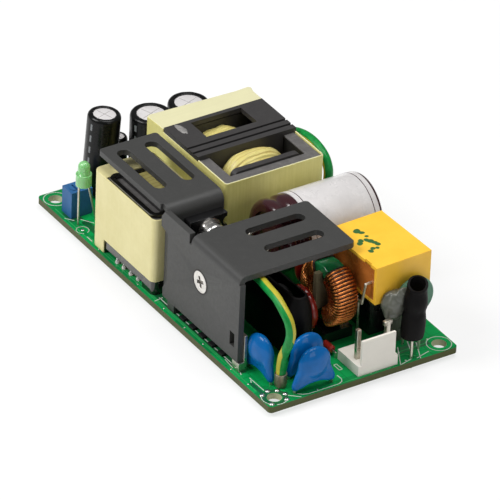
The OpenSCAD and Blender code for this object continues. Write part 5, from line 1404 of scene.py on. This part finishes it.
class SupplyHeaders(bpy.types.Operator):
    """Round the headers and their pins, and give the far pin its flat head"""
    bl_idname = "supply.headers"
    bl_label = "Pin headers"

    def execute(self, context):
        softened("inlet_header", 0.22)
        softened("output_header", 0.22)
        softened("header_pins", 0.18)
        x, y = FAR_PIN
        z = span("header_pins")[1].z
        bm = bmesh.new()
        box_mesh(bm, (x - 0.5, x + 0.5), (y - 1.1, y + 1.1), (z - 1.2, z - 0.1), 0.15)
        put("far_pin_head", bm, "tinned")
        return {"FINISHED"}


class SupplySignals(bpy.types.Operator):
    """Finish the trimmer and the indicator lamp"""
    bl_idname = "supply.signals"
    bl_label = "Trimmer and lamp"

    def execute(self, context):
        softened("trimmer_body", 0.2)
        softened("trimmer_rotor", 0.06, body=ROTOR_BODY)
        put("led_lens_clear", copy_of("led_lens"), "lens", ["led_lens"])
        return {"FINISHED"}


class SupplyPlain(bpy.types.Operator):
    """Give every CAD part that still shows its slot's finish"""
    bl_idname = "supply.plain"
    bl_label = "Finishes of the CAD parts"

    def execute(self, context):
        for name, part in frame["nodes"].items():
            part.data.materials.clear()
            part.data.materials.append(finish_of(SLOT_OF[name]))
        return {"FINISHED"}


OPERATORS = (
    SupplyStage, SupplyEarthWire, SupplyBoard, SupplyHeatsinks, SupplySemiconductors, SupplyChoke,
    SupplyTransformer, SupplyElectrolytics, SupplyFilterChoke, SupplyFilmCapacitor, SupplyDiscs,
    SupplySleeves, SupplyHeaders, SupplySignals, SupplyPlain,
)


class SUPPLY_PT_panel(bpy.types.Panel):
    """The steps that build the power supply's finished look, and their settings"""
    bl_label = "Power supply"
    bl_space_type = "VIEW_3D"
    bl_region_type = "UI"
    bl_category = "Supply"

    def draw(self, context):
        for made in OPERATORS:
            self.layout.operator(made.bl_idname)
        for group_name in ("supply_look", "supply_detail"):
            for key in getattr(context.scene, group_name).__annotations__:
                self.layout.prop(getattr(context.scene, group_name), key)


CLASSES = (SupplyLook, SupplyDetail, *OPERATORS, SUPPLY_PT_panel)


def register():
    """Registers the classes and hangs the settings on the scene."""
    for made in CLASSES:
        bpy.utils.register_class(made)
    bpy.types.Scene.supply_look = bpy.props.PointerProperty(type=SupplyLook)
    bpy.types.Scene.supply_detail = bpy.props.PointerProperty(type=SupplyDetail)


def unregister():
    """Takes back what register did."""
    del bpy.types.Scene.supply_detail
    del bpy.types.Scene.supply_look
    for made in reversed(CLASSES):
        bpy.utils.unregister_class(made)


def main():
    """Builds every piece."""
    register()
    for made in OPERATORS:
        group_name, step = made.bl_idname.split(".")
        getattr(getattr(bpy.ops, group_name), step)()


if __name__ == "__main__":
    main()
